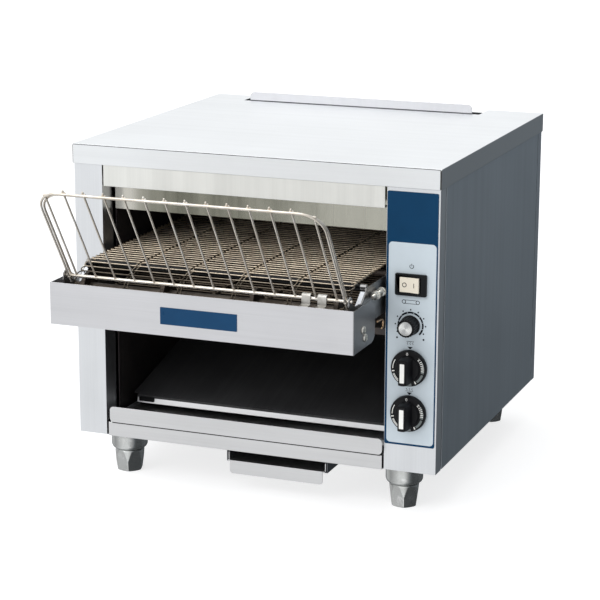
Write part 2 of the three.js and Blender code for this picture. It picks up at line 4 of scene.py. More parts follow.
import bmesh
import bpy
from mathutils import Matrix, Vector
from mathutils.geometry import tessellate_polygon

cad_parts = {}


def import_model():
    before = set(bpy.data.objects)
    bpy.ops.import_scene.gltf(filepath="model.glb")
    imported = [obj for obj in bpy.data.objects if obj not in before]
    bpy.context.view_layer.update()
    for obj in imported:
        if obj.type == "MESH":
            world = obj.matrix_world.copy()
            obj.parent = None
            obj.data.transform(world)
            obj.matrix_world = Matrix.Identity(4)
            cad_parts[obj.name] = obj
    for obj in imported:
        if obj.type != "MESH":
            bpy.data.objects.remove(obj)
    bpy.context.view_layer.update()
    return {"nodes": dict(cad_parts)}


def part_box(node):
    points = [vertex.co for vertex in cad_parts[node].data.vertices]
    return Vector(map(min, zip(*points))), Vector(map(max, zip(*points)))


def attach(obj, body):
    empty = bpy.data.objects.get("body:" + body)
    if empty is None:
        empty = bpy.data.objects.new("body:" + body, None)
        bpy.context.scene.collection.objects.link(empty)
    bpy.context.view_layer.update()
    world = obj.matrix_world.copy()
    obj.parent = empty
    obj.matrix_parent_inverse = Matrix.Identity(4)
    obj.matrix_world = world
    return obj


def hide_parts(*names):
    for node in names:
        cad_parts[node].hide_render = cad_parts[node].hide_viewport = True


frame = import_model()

NODES = frame["nodes"]
SCENE = bpy.context.scene
random.seed(7)

# Lengths below are in millimetres from the middle of the cabinet's front face at floor level.
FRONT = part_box("top_cover")[0].y + 0.0015


def P(x, y, z):
    return Vector((x * 0.001, y * 0.001 + FRONT, z * 0.001))


# ---------------------------------------------------------------------------------------------
# Materials
# ---------------------------------------------------------------------------------------------
def lin(c):
    return c / 12.92 if c <= 0.04045 else ((c + 0.055) / 1.055) ** 2.4


def rgb(r, g, b):
    return (lin(r / 255), lin(g / 255), lin(b / 255), 1.0)


def scaled(c, k):
    return (min(c[0] * k, 1), min(c[1] * k, 1), min(c[2] * k, 1), 1.0)


class Shader:
    """A small helper that builds one procedural material."""

    def __init__(self, name):
        self.m = bpy.data.materials.new(name)
        self.m.use_nodes = True
        self.t = self.m.node_tree
        self.t.nodes.clear()
        self.out = self.t.nodes.new("ShaderNodeOutputMaterial")
        self.b = self.t.nodes.new("ShaderNodeBsdfPrincipled")
        self.t.links.new(self.b.outputs[0], self.out.inputs["Surface"])
        self.co = self.t.nodes.new("ShaderNodeTexCoord").outputs["Object"]

    def link(self, value, socket):
        if isinstance(value, bpy.types.NodeSocket):
            self.t.links.new(value, socket)
        elif value is not None:
            socket.default_value = value

    def set(self, name, value):
        self.link(value, self.b.inputs[name])
        return self

    def mapped(self, scale, vec=None, loc=(0, 0, 0), rot=(0, 0, 0)):
        n = self.t.nodes.new("ShaderNodeMapping")
        self.link(vec or self.co, n.inputs["Vector"])
        n.inputs["Scale"].default_value = scale
        n.inputs["Location"].default_value = loc
        n.inputs["Rotation"].default_value = rot
        return n.outputs[0]

    def noise(self, scale=1.0, detail=2.0, rough=0.5, vec=None, distortion=0.0):
        n = self.t.nodes.new("ShaderNodeTexNoise")
        self.link(vec or self.co, n.inputs["Vector"])
        n.inputs["Scale"].default_value = scale
        n.inputs["Detail"].default_value = detail
        n.inputs["Roughness"].default_value = rough
        n.inputs["Distortion"].default_value = distortion
        return n.outputs["Fac"]

    def voronoi(self, scale, vec=None, feature="DISTANCE_TO_EDGE"):
        n = self.t.nodes.new("ShaderNodeTexVoronoi")
        n.feature = feature
        self.link(vec or self.co, n.inputs["Vector"])
        n.inputs["Scale"].default_value = scale
        return n.outputs["Distance"]

    def math(self, op, a, b=0.0, c=0.0, clamp=False):
        n = self.t.nodes.new("ShaderNodeMath")
        n.operation = op
        n.use_clamp = clamp
        self.link(a, n.inputs[0])
        self.link(b, n.inputs[1])
        self.link(c, n.inputs[2])
        return n.outputs[0]

    def fit(self, v, a0, a1, b0, b1):
        n = self.t.nodes.new("ShaderNodeMapRange")
        n.clamp = True
        self.link(v, n.inputs["Value"])
        for k, x in zip(("From Min", "From Max", "To Min", "To Max"), (a0, a1, b0, b1)):
            n.inputs[k].default_value = x
        return n.outputs["Result"]

    def smooth(self, v, a0, a1, b0=0.0, b1=1.0):
        n = self.t.nodes.new("ShaderNodeMapRange")
        n.interpolation_type = "SMOOTHSTEP"
        self.link(v, n.inputs["Value"])
        for k, x in zip(("From Min", "From Max", "To Min", "To Max"), (a0, a1, b0, b1)):
            n.inputs[k].default_value = x
        return n.outputs["Result"]

    def mix(self, f, a, b, blend="MIX"):
        n = self.t.nodes.new("ShaderNodeMix")
        n.data_type = "RGBA"
        n.blend_type = blend
        self.link(f, n.inputs[0])
        self.link(a, n.inputs[6])
        self.link(b, n.inputs[7])
        return n.outputs[2]

    def xyz(self, vec=None):
        n = self.t.nodes.new("ShaderNodeSeparateXYZ")
        self.link(vec or self.co, n.inputs[0])
        return n.outputs[0], n.outputs[1], n.outputs[2]

    def bump(self, height, strength, distance, normal=None):
        n = self.t.nodes.new("ShaderNodeBump")
        n.inputs["Strength"].default_value = strength
        n.inputs["Distance"].default_value = distance
        self.link(height, n.inputs["Height"])
        if normal is not None:
            self.link(normal, n.inputs["Normal"])
        return n.outputs[0]

    def edges(self, radius=0.0009, lo=0.02, hi=0.30):
        """0 on flats, 1 on outer and inner edges, from rounded against true normals."""
        bev = self.t.nodes.new("ShaderNodeBevel")
        bev.samples = 4
        bev.inputs["Radius"].default_value = radius
        geo = self.t.nodes.new("ShaderNodeNewGeometry")
        dot = self.t.nodes.new("ShaderNodeVectorMath")
        dot.operation = "DOT_PRODUCT"
        self.t.links.new(bev.outputs[0], dot.inputs[0])
        self.t.links.new(geo.outputs["True Normal"], dot.inputs[1])
        return self.fit(self.math("SUBTRACT", 1.0, dot.outputs["Value"]), lo, hi, 0.0, 1.0)


GRAIN = {"x": (7, 620, 620), "y": (620, 7, 620), "z": (620, 620, 7)}
WIDE = {"x": (1.5, 70, 70), "y": (70, 1.5, 70), "z": (70, 70, 1.5)}


def brushed(name, base, rough=0.32, along="x", grain=1.0, smudge=1.0, streak=1.0, edge=0.35, tint=None, tint_amount=0.0, shade=None):
    """Brushed stainless sheet: fine grain one way, wide soft streaks, finger smudges and brighter worn edges; shade
    darkens the tone past a position along one axis, a painted shade.
    """
    s = Shader(name)
    fine = s.noise(1.0, 3, 0.65, s.mapped(GRAIN[along]))
    wide = s.noise(1.0, 2, 0.5, s.mapped(WIDE[along], loc=(3.1, 1.7, 0.4)))
    cloud = s.noise(6.5, 4, 0.62, s.mapped((1, 1, 1), loc=(0.3, 0.9, 0.1)), 0.4)
    f = s.math("ADD", s.fit(fine, 0.25, 0.75, -0.5 * grain, 0.5 * grain), s.fit(wide, 0.3, 0.7, -0.6 * streak, 0.6 * streak))
    f = s.math("ADD", f, s.fit(cloud, 0.3, 0.7, -0.5 * smudge, 0.5 * smudge))
    f = s.fit(f, -1.4, 1.4, 0.0, 1.0)
    col = s.mix(f, scaled(base, 0.90), scaled(base, 1.08))
    # painted shade: past hi along the axis the colour falls to low times the base
    if shade is not None:
        axis, lo, hi, low = shade
        col = s.mix(s.smooth(s.xyz()["xyz".index(axis)], lo, hi), col, scaled(base, low))
    if tint is not None:
        patch = s.smooth(s.noise(3.4, 3, 0.6, s.mapped((1, 1, 1), loc=(5, 2, 8))), 0.42, 0.68)
        col = s.mix(s.math("MULTIPLY", patch, tint_amount), col, tint)
    r = s.math("ADD", rough, s.fit(fine, 0.2, 0.8, -0.06 * grain, 0.06 * grain))
    r = s.math("ADD", r, s.fit(cloud, 0.3, 0.7, -0.05 * smudge, 0.07 * smudge))
    if edge:
        e = s.edges()
        col = s.mix(s.math("MULTIPLY", e, edge), col, scaled(base, 1.35))
        r = s.math("SUBTRACT", r, s.math("MULTIPLY", e, 0.08))
    s.set("Base Color", col).set("Metallic", 1.0).set("Roughness", r)
    s.set("Normal", s.bump(s.math("ADD", fine, s.math("MULTIPLY", wide, 0.6)), 0.10 * grain, 0.00025))
    return s.m


def oxidised(name, dark, warm, rough=0.45, metallic=0.85, amount=1.0, scale=9.0, wear=None, inner=None):
    """Steel that lives in the heat: dull, with brown and blue-grey patches and fine pitting; inner paints a near-black
    painted shade over a stretch along x.
    """
    s = Shader(name)
    big = s.noise(scale, 5, 0.62, s.mapped((1, 1, 1), loc=(1.3, 0.2, 2.2)), 0.6)
    small = s.noise(240, 2, 0.5)
    run = s.noise(1.0, 3, 0.6, s.mapped((60, 60, 4), loc=(2, 5, 1)))
    f = s.math("ADD", s.fit(big, 0.3, 0.7, 0, 0.8 * amount), s.fit(run, 0.4, 0.7, 0, 0.35 * amount), clamp=True)
    col = s.mix(f, dark, warm)
    col = s.mix(s.fit(small, 0.35, 0.75, 0.0, 0.35), col, scaled(dark, 0.55))
    if wear is not None:
        col = s.mix(s.math("MULTIPLY", s.edges(0.0008), 0.7), col, wear)
    # painted shade: within inner[1] of x = inner[0] the colour falls to inner[2] times the dark tone
    if inner is not None:
        x = s.math("ABSOLUTE", s.math("SUBTRACT", s.xyz()[0], inner[0]))
        col = s.mix(s.smooth(x, inner[1] - 0.001, inner[1], 1.0, 0.0), col, scaled(dark, inner[2]))
    s.set("Base Color", col).set("Metallic", metallic)
    s.set("Roughness", s.math("ADD", rough, s.fit(big, 0.3, 0.7, -0.12, 0.14)))
    s.set("Normal", s.bump(s.math("ADD", small, s.math("MULTIPLY", big, 2.0)), 0.15, 0.0003))
    return s.m


def wire_metal(name, base, brown, rough=0.28, amount=0.5, bright=None, scale=30.0, lo=0.40, hi=0.66, metallic=1.0, bands=None):
    """Drawn wire or rod: fine draw lines, heat brown in patches, and bright rubbed stretches; bands paint a reflection
    as stripes.
    """
    s = Shader(name)
    a = s.noise(scale, 4, 0.6, s.mapped((1, 1, 1), loc=(0.7, 4.1, 0.2)), 0.5)
    fine = s.noise(900, 2, 0.6)
    col = s.mix(s.math("MULTIPLY", s.smooth(a, lo, hi), amount), base, brown)
    if bright is not None:
        col = s.mix(s.smooth(s.noise(scale * 2.3, 3, 0.6, s.mapped((1, 1, 1), loc=(9, 1, 3))), 0.52, 0.72), col, bright)
    if bands:
        # painted reflection: dark and bright stripes down the turned wall, set by which way the wall faces
        geo = s.t.nodes.new("ShaderNodeNewGeometry")
        nx, ny, nz = s.xyz(geo.outputs["Normal"])
        u = s.math("ADD", s.math("MULTIPLY", nx, 0.932), s.math("MULTIPLY", ny, 0.362))
        ramp = s.t.nodes.new("ShaderNodeValToRGB")
        s.link(s.fit(u, -1, 1, 0, 1), ramp.inputs[0])
        el = ramp.color_ramp.elements
        while len(el) < len(bands):
            el.new(0.5)
        for e, (at, v) in zip(el, bands):
            e.position = at
            e.color = (v, v, v, 1)
        col = s.mix(ramp.outputs[0], scaled(base, 0.10), col)
    col = s.mix(s.fit(fine, 0.3, 0.7, 0.0, 0.22), col, scaled(base, 0.6))
    s.set("Base Color", col).set("Metallic", metallic)
    s.set("Roughness", s.math("ADD", rough, s.fit(a, 0.3, 0.7, -0.06, 0.12)))
    s.set("Normal", s.bump(fine, 0.12, 0.0002))
    return s.m


def moulded(name, base, rough=0.42, pebble=0.25, dust=0.12, coat=0.0, wear=0.25, light=None, spec=0.5):
    """Moulded plastic: fine pebble in the surface, faint dust, and slightly polished edges."""
    s = Shader(name)
    peb = s.noise(1300, 2, 0.5)
    cloud = s.noise(38, 4, 0.6, s.mapped((1, 1, 1), loc=(4, 2, 7)))
    col = s.mix(s.fit(cloud, 0.35, 0.75, 0.0, dust), base, light or scaled(base, 2.2) )
    col = s.mix(s.math("MULTIPLY", s.edges(0.0006), wear), col, light or scaled(base, 2.6))
    s.set("Base Color", col).set("Metallic", 0.0)
    s.set("Roughness", s.math("ADD", rough, s.fit(cloud, 0.3, 0.7, -0.07, 0.10)))
    s.set("Normal", s.bump(peb, pebble, 0.00012))
    s.set("Coat Weight", coat)
    s.set("Specular IOR Level", spec)
    return s.m


def printed(name, base, rough=0.40, vary=0.05, light=None, spec=0.2):
    """Printed ink or film: faint mottle and orange peel."""
    s = Shader(name)
    cloud = s.noise(30, 3, 0.6)
    peel = s.noise(520, 2, 0.5)
    s.set("Base Color", s.mix(s.fit(cloud, 0.3, 0.7, 0, 1), scaled(base, 1 - vary), light or scaled(base, 1 + vary)))
    s.set("Roughness", s.math("ADD", rough, s.fit(cloud, 0.3, 0.7, -0.05, 0.07)))
    s.set("Normal", s.bump(peel, 0.10, 0.0001))
    s.set("Specular IOR Level", spec)
    return s.m


STEEL = rgb(214, 217, 221)
M = {}
M["column"] = brushed("column_steel", rgb(226, 228, 231), 0.36, "z", 0.8, 0.7, 0.7, 0.15)
M["panel"] = brushed("panel_steel", rgb(232, 232, 228), 0.34, "z", 0.8, 1.0, 1.3, 0.15)
M["side"] = brushed("side_steel", rgb(208, 214, 220), 0.38, "z", 0.8, 0.9, 0.9, 0.2)
# cover: its right-hand face past x = 250.5 mm is painted shade, at 0.8 of the base
M["cover"] = brushed("cover_steel", rgb(236, 238, 240), 0.34, "x", 0.6, 0.6, 0.5, 0.0, shade=("x", 0.2505, 0.2509, 0.80))
# flap: the cover's steel made darker, a painted shade
M["flap"] = brushed("flap_steel", rgb(203, 203, 206), 0.36, "z", 0.6, 0.6, 0.5, 0.0)
# trough: its right wing past x = 186.6 mm is painted shade, at 0.4 of the base
M["trough"] = brushed("trough_steel", rgb(214, 214, 217), 0.33, "x", 0.9, 0.8, 0.9, 0.2, shade=("x", 0.1866, 0.1874, 0.40))
M["tray"] = brushed("tray_steel", rgb(216, 216, 217), 0.36, "x", 0.9, 0.8, 0.8, 0.15)
M["under"] = brushed("under_steel", rgb(170, 172, 176), 0.42, "y", 0.9, 1.2, 0.8, 0.2)
M["chamber"] = oxidised("chamber_oxidised", (0.032, 0.028, 0.031, 1), (0.060, 0.050, 0.047, 1), 0.5, 0.7)
M["shield"] = oxidised("shield_oxidised", (0.045, 0.042, 0.044, 1), (0.095, 0.075, 0.060, 1), 0.45, 0.8)
# frame: the stretch between its side plates, cross members included, is painted shade, near black
M["frame"] = oxidised("frame_steel_worn", rgb(150, 151, 153), rgb(112, 106, 98), 0.38, 1.0, 0.7, 14.0, rgb(214, 214, 214), (-0.0145, 0.1835, 0.06))
M["shaft"] = oxidised("shaft_steel_oxidised", rgb(78, 72, 66), rgb(52, 45, 40), 0.46, 0.9, 0.9, 30.0)
M["guide"] = brushed("guide_steel_dull", rgb(112, 114, 118), 0.42, "y", 0.9, 1.2, 0.8, 0.0)
M["heater"] = oxidised("heater_sheath_oxide", (0.045, 0.04, 0.038, 1), (0.11, 0.085, 0.07, 1), 0.55, 0.6, 1.0, 30)
M["rack"] = wire_metal("rack_rod_polished", rgb(232, 225, 215), rgb(190, 176, 156), 0.24, 0.45, rgb(244, 240, 234), 22.0, metallic=0.86)
M["clip"] = wire_metal("clip_spring_steel", rgb(184, 182, 178), rgb(150, 146, 138), 0.34, 0.5, None, 90.0)
M["nut"] = wire_metal("plated_screw", rgb(240, 238, 232), rgb(176, 168, 150), 0.34, 0.35, None, 50.0)
M["brass"] = wire_metal("brass_rod", rgb(204, 172, 138), rgb(160, 122, 90), 0.28, 0.5, None, 60.0)
# feet: the bands are a painted reflection, dark and bright stripes down the turned wall
M["foot"] = wire_metal("foot_turned_steel", rgb(216, 218, 217), rgb(180, 178, 174), 0.19, 0.35, rgb(248, 248, 248), 26.0, metallic=0.9, bands=((0.0, 0.7), (0.12, 0.34), (0.24, 0.7), (0.34, 1.0), (0.46, 1.0), (0.56, 0.62), (0.70, 0.38), (0.84, 0.50), (0.93, 0.85), (1.0, 0.6)))
M["chain"] = oxidised("chain_oiled", rgb(82, 84, 88), rgb(58, 50, 44), 0.35, 1.0, 0.8, 40)
M["sprocket"] = oxidised("sprocket_steel", rgb(130, 132, 134), rgb(92, 84, 76), 0.36, 1.0, 0.6, 40)
M["knob"] = moulded("knob_black_moulded", (0.004, 0.004, 0.005, 1), 0.42, 0.22, 0.10, 0.0, 0.30, (0.03, 0.03, 0.034, 1), 0.16)
M["switch"] = moulded("switch_black_moulded", (0.004, 0.005, 0.006, 1), 0.42, 0.20, 0.10, 0.0, 0.25, (0.04, 0.04, 0.045, 1), 0.2)
M["ivory"] = moulded("rocker_ivory_moulded", rgb(222, 214, 198), 0.38, 0.12, 0.20, 0.0, 0.25, rgb(236, 230, 216), 0.25)
M["bakelite"] = moulded("regulator_bakelite", (0.028, 0.026, 0.026, 1), 0.5, 0.3, 0.2)
M["terminal"] = moulded("terminal_cream_ceramic", rgb(214, 206, 190), 0.45, 0.2, 0.3, 0.1, 0.2, rgb(236, 230, 216))
M["motor"] = moulded("motor_grey_enamel", rgb(112, 116, 120), 0.45, 0.45, 0.25, 0.1, 0.4, rgb(160, 164, 168))
# strip: white for the painted highlight on the conveyor frame's edges
M["strip"] = wire_metal("frame_edge_painted_highlight", rgb(240, 243, 248), rgb(214, 218, 224), 0.5, 0.3, None, 40.0, metallic=0.1)
M["fold"] = oxidised("fold_shadow_steel", rgb(92, 93, 97), rgb(80, 80, 84), 0.55, 0.6)
M["seam"] = oxidised("seam_shadow_steel", (0.010, 0.010, 0.011, 1), (0.020, 0.020, 0.021, 1), 0.6, 0.2)
M["gland"] = moulded("gland_black_nylon", (0.012, 0.012, 0.013, 1), 0.5, 0.3, 0.15)
M["film"] = printed("film_blue", rgb(4, 53, 86), 0.40, 0.07, None, 0.12)
M["film_light"] = printed("film_light_grey", rgb(190, 200, 207), 0.40, 0.03, None, 0.15)
M["ink"] = printed("ink_dark_blue", rgb(14, 20, 30), 0.50, 0.15, None, 0.1)
M["white"] = printed("ink_white", rgb(232, 232, 228), 0.42, 0.03)
M["dial_grey"] = printed("ink_grey", rgb(112, 118, 118), 0.5, 0.10, None, 0.1)
M["badge"] = printed("badge_blue_enamel", rgb(6, 56, 92), 0.30, 0.08, None, 0.2)


def chute_material():
    """Black non-stick plate: satin, with long slide scratches and a dusty bloom."""
    s = Shader("chute_black_nonstick")
    scratch = s.noise(1.0, 4, 0.7, s.mapped((300, 5, 5)))
    bloom = s.noise(9, 4, 0.6, s.mapped((1, 1, 1), loc=(2, 1, 5)), 0.3)
    f = s.math("ADD", s.fit(scratch, 0.45, 0.8, 0, 0.5), s.fit(bloom, 0.4, 0.75, 0, 0.5), clamp=True)
    s.set("Base Color", s.mix(f, (0.034, 0.034, 0.036, 1), (0.074, 0.074, 0.077, 1)))
    s.set("Metallic", 0.0)
    s.set("Roughness", s.math("ADD", 0.36, s.fit(bloom, 0.3, 0.7, -0.08, 0.12)))
    s.set("Normal", s.bump(scratch, 0.10, 0.0002))
    return s.m


def baffle_material():
    """Bright rolled sheet streaked top to bottom; its tones are a painted reflection: bright at its left end, dark in
    the middle where it mirrors the rack and belt, lighter to the right.
    """
    s = Shader("baffle_rolled_steel")
    x, y, z = s.xyz()
    streak = s.noise(1.0, 4, 0.62, s.mapped((42, 42, 1.2), loc=(1, 2, 0)))
    fine = s.noise(1.0, 2, 0.5, s.mapped((420, 420, 5)))
    cloud = s.noise(10, 4, 0.6)
    # painted reflection: bright at the left end, dark streaked tones in the middle, lighter towards the right
    painted_bright_left = s.smooth(s.math("ADD", x, s.fit(streak, 0.3, 0.7, -0.008, 0.008)), -0.192, -0.150, 1.0, 0.0)
    dull = s.mix(s.fit(streak, 0.30, 0.70, 0, 1), rgb(110, 110, 99), rgb(146, 145, 133))
    dull = s.mix(s.fit(cloud, 0.45, 0.8, 0, 0.3), dull, rgb(170, 168, 156))
    right = s.math("ADD", x, s.fit(cloud, 0.3, 0.7, -0.03, 0.03))
    dull = s.mix(s.smooth(right, -0.03, 0.15, 0.0, 0.75), dull, rgb(196, 195, 184))
    col = s.mix(painted_bright_left, dull, rgb(204, 201, 192))
    s.set("Base Color", col).set("Metallic", 1.0)
    s.set("Roughness", s.math("ADD", 0.20, s.fit(fine, 0.3, 0.7, -0.04, 0.08)))
    s.set("Normal", s.bump(s.math("ADD", fine, streak), 0.12, 0.0003))
    return s.m


def belt_material():
    """Stainless belt wire after years of heat: bronze and brown with rubbed bright spots, paler at the nose and darker
    towards the rear; below the top run the wires carry a painted shade.
    """
    s = Shader("belt_wire_heat_tinted")
    x, y, z = s.xyz()
    patch = s.noise(11, 4, 0.62, s.mapped((1, 1, 1), loc=(3, 6, 1)), 0.5)
    fine = s.noise(420, 2, 0.5)
    brown = s.mix(s.fit(patch, 0.32, 0.68, 0, 1), rgb(162, 148, 131), rgb(224, 208, 184))
    brown = s.mix(s.fit(fine, 0.45, 0.75, 0.0, 0.6), brown, rgb(88, 76, 66))
    nose = s.smooth(y, FRONT - 0.075, FRONT + 0.05, 1.0, 0.0)
    pale = s.mix(s.fit(fine, 0.4, 0.7, 0, 0.4), rgb(226, 216, 200), rgb(160, 148, 132))
    col = s.mix(s.math("MULTIPLY", nose, 0.22), brown, pale)
    rear = s.smooth(y, FRONT + 0.06, FRONT + 0.34)
    col = s.mix(s.math("MULTIPLY", rear, 0.35), col, rgb(112, 104, 97))
    # painted shade: wires below the top run, round the nose and along the lower run, darkened
    painted_shade_below = s.smooth(z, 0.3065, 0.3142, 1.0, 0.0)
    col = s.mix(s.math("MULTIPLY", painted_shade_below, 0.84), col, rgb(44, 37, 32))
    s.set("Base Color", col).set("Metallic", 1.0)
    s.set("Roughness", s.math("ADD", 0.33, s.fit(patch, 0.3, 0.7, -0.06, 0.10)))
    s.set("Normal", s.bump(fine, 0.15, 0.0002))
    return s.m


def cap_material():
    """Spun aluminium: concentric turning marks in the roughness and bump, and two bright fans painted into the colour,
    a painted highlight.
    """
    s = Shader("cap_spun_aluminium")
    cx, _, cz = P(214.1, 0, 250.7)
    x, y, z = s.xyz()
    dx, dz = s.math("SUBTRACT", x, cx), s.math("SUBTRACT", z, cz)
    ang = s.math("ARCTAN2", dz, dx)
    rad = s.math("SQRT", s.math("ADD", s.math("MULTIPLY", dx, dx), s.math("MULTIPLY", dz, dz)))
    rings = s.math("SINE", s.math("MULTIPLY", rad, 9000.0))
    # painted highlight: two bright fans around the centre
    painted_highlight_fans = s.math("COSINE", s.math("ADD", s.math("MULTIPLY", ang, 2.0), 0.9))
    tick = s.noise(1.0, 3, 0.6, s.mapped((700, 700, 700)))
    f = s.math("ADD", s.fit(painted_highlight_fans, -1, 1, 0, 0.75), s.fit(tick, 0.3, 0.7, 0, 0.25))
    s.set("Base Color", s.mix(f, rgb(172, 173, 174), rgb(246, 246, 244))).set("Metallic", 1.0)
    s.set("Roughness", s.fit(rings, -1, 1, 0.24, 0.34))
    s.set("Normal", s.bump(rings, 0.10, 0.0001))
    return s.m


M["chute"] = chute_material()
M["baffle"] = baffle_material()
M["belt"] = belt_material()
M["cap"] = cap_material()


# ---------------------------------------------------------------------------------------------
# Mesh helpers
# ---------------------------------------------------------------------------------------------
def shade(me, angle=35.0):
    """Smooth shading with edges sharper than the angle kept crisp."""
    for p in me.polygons:
        p.use_smooth = True
    bm = bmesh.new()
    bm.from_mesh(me)
    for e in bm.edges:
        e.smooth = not (len(e.link_faces) == 2 and e.calc_face_angle(0.0) > math.radians(angle))
    bm.to_mesh(me)
    bm.free()


class Build:
    """Collects closed bodies into one mesh object. Points are given in millimetres."""

    def __init__(self):
        self.v, self.f = [], []

    def add(self, verts, faces):
        k = len(self.v)
        self.v += [P(*v) for v in verts]
        self.f += [tuple(i + k for i in f) for f in faces]
        return self

    def tube(self, pts, r, n=12, closed=False, ends="round"):
        """A round rod along points; r is a number or one radius per point."""
        pts = [Vector(p) for p in pts]
        m = len(pts)
        rad = list(r) if hasattr(r, "__len__") else [r] * m
        if not closed and ends == "round":
            d0, d1 = (pts[0] - pts[1]).normalized(), (pts[-1] - pts[-2]).normalized()
            r0, r1 = rad[0], rad[-1]
            head = [(pts[0] + d0 * r0 * k * 0.8, r0 * q) for k, q in ((0.98, 0.25), (0.75, 0.66), (0.40, 0.91))]
            tail = [(pts[-1] + d1 * r1 * k * 0.8, r1 * q) for k, q in ((0.40, 0.91), (0.75, 0.66), (0.98, 0.25))]
            pts = [p for p, _ in head] + pts + [p for p, _ in tail]
            rad = [q for _, q in head] + rad + [q for _, q in tail]
            m = len(pts)
        tang = []
        for i in range(m):
            a = pts[(i - 1) % m] if closed or i else pts[i]
            b = pts[(i + 1) % m] if closed or i < m - 1 else pts[i]
            tang.append((b - a).normalized())
        up = Vector((0, 0, 1)) if abs(tang[0].z) < 0.9 else Vector((1, 0, 0))
        u = tang[0].cross(up).normalized()
        verts = []
        for i in range(m):
            if i:
                u = (u - tang[i] * u.dot(tang[i])).normalized()
            w = tang[i].cross(u)
            for j in range(n):
                a = 2 * math.pi * j / n
                verts.append(pts[i] + (u * math.cos(a) + w * math.sin(a)) * rad[i])
        faces = []
        rings = m if closed else m - 1
        for i in range(rings):
            for j in range(n):
                a, b = i * n + j, i * n + (j + 1) % n
                c, d = ((i + 1) % m) * n + (j + 1) % n, ((i + 1) % m) * n + j
                faces.append((a, d, c, b))
        if not closed:
            faces.append(tuple(range(n)))
            faces.append(tuple(reversed(range((m - 1) * n, m * n))))
        return self.add(verts, faces)

    def lathe(self, prof, axis, c, n=48, radius=None):
        """prof: (radius, position along the axis), open at the axis at both ends. radius(angle, position, r) may reshape it."""
        verts, faces, rings = [], [], []
        for r, a in prof:
            if r <= 1e-6:
                rings.append([len(verts)])
                verts.append(self.at(axis, c, a, 0, 0))
                continue
            ring = []
            for j in range(n):
                t = 2 * math.pi * j / n
                q = radius(t, a, r) if radius else r
                ring.append(len(verts))
                verts.append(self.at(axis, c, a, q * math.cos(t), q * math.sin(t)))
            rings.append(ring)
        for r0, r1 in zip(rings, rings[1:]):
            for j in range(n):
                k = (j + 1) % n
                if len(r0) == 1 and len(r1) == 1:
                    continue
                if len(r0) == 1:
                    faces.append((r0[0], r1[k], r1[j]))
                elif len(r1) == 1:
                    faces.append((r0[j], r0[k], r1[0]))
                else:
                    faces.append((r0[j], r0[k], r1[k], r1[j]))
        if len(rings[0]) > 1 and len(rings[-1]) > 1 and prof[0] == prof[-1]:
            pass
        return self.add(verts, faces)

    @staticmethod
    def at(axis, c, a, u, v):
        if axis == "x":
            return (a, c[0] + u, c[1] + v)
        if axis == "y":
            return (c[0] + u, a, c[1] + v)
        return (c[0] + u, c[1] + v, a)

    def prism(self, outline, axis, a, b, holes=(), place=None):
        """Extrudes an outline, with holes, along an axis. place(u, v, w) may bend it."""
        loops = [list(outline)] + [list(h) for h in holes]
        flat = [p for l in loops for p in l]
        tris = tessellate_polygon([[Vector((u, v, 0)) for u, v in l] for l in loops])
        put = place or (lambda u, v, w: {"x": (w, u, v), "y": (u, w, v), "z": (u, v, w)}[axis])
        n = len(flat)
        verts = [put(u, v, a) for u, v in flat] + [put(u, v, b) for u, v in flat]
        faces = [tuple(t) for t in tris] + [tuple(i + n for i in reversed(t)) for t in tris]
        k = 0
        for l in loops:
            m = len(l)
            for i in range(m):
                p, q = k + i, k + (i + 1) % m
                faces.append((p, q, q + n, p + n))
            k += m
        return self.add(verts, faces)

    def loft(self, rings, cap=True):
        m = len(rings[0])
        verts = [p for r in rings for p in r]
        faces = []
        for i in range(len(rings) - 1):
            for j in range(m):
                k = (j + 1) % m
                faces.append((i * m + j, i * m + k, (i + 1) * m + k, (i + 1) * m + j))
        if cap:
            faces.append(tuple(reversed(range(m))))
            faces.append(tuple(range((len(rings) - 1) * m, len(rings) * m)))
        return self.add(verts, faces)

    def make(self, name, mat, body, slot=None, replaces=(), angle=35.0, bevel=0.0, segs=2):
        me = bpy.data.meshes.new(name)
        me.from_pydata([tuple(v) for v in self.v], [], self.f)
        me.validate()
        bm = bmesh.new()
        bm.from_mesh(me)
        bmesh.ops.remove_doubles(bm, verts=bm.verts, dist=1e-7)
        bmesh.ops.recalc_face_normals(bm, faces=bm.faces)
        bm.to_mesh(me)
        bm.free()
        shade(me, angle)
        me.materials.append(mat)
        o = bpy.data.objects.new(name, me)
        SCENE.collection.objects.link(o)
        if bevel:
            bevelled(o, bevel, segs)
        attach(o, body)
        if replaces:
            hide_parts(*([replaces] if isinstance(replaces, str) else replaces))
        return o


def bevelled(o, width, segs=2, angle=32.0):
    d = o.modifiers.new("flat", "DECIMATE")
    d.decimate_type = "DISSOLVE"
    d.angle_limit = math.radians(0.6)
    b = o.modifiers.new("edge", "BEVEL")
    b.width = width * 0.001
    b.segments = segs
    b.limit_method = "ANGLE"
    b.angle_limit = math.radians(angle)
    b.use_clamp_overlap = True
    b.harden_normals = True
    b.miter_outer = "MITER_ARC"


def soften(node, mat, width=0.35, segs=2, angle=32.0):
    """Gives a CAD node its finish and rounds its edges with modifiers; its own mesh stays as it is."""
    o = NODES[node]
    me = o.data
    me.materials.clear()
    me.materials.append(mat)
    for n in ("custom_normal",):
        if n in me.attributes:
            me.attributes.remove(me.attributes[n])
    for p in me.polygons:
        p.use_smooth = True
        p.material_index = 0
    w = o.modifiers.new("join", "WELD")
    w.merge_threshold = 2e-6
    if width:
        bevelled(o, width, segs, angle)
    return o


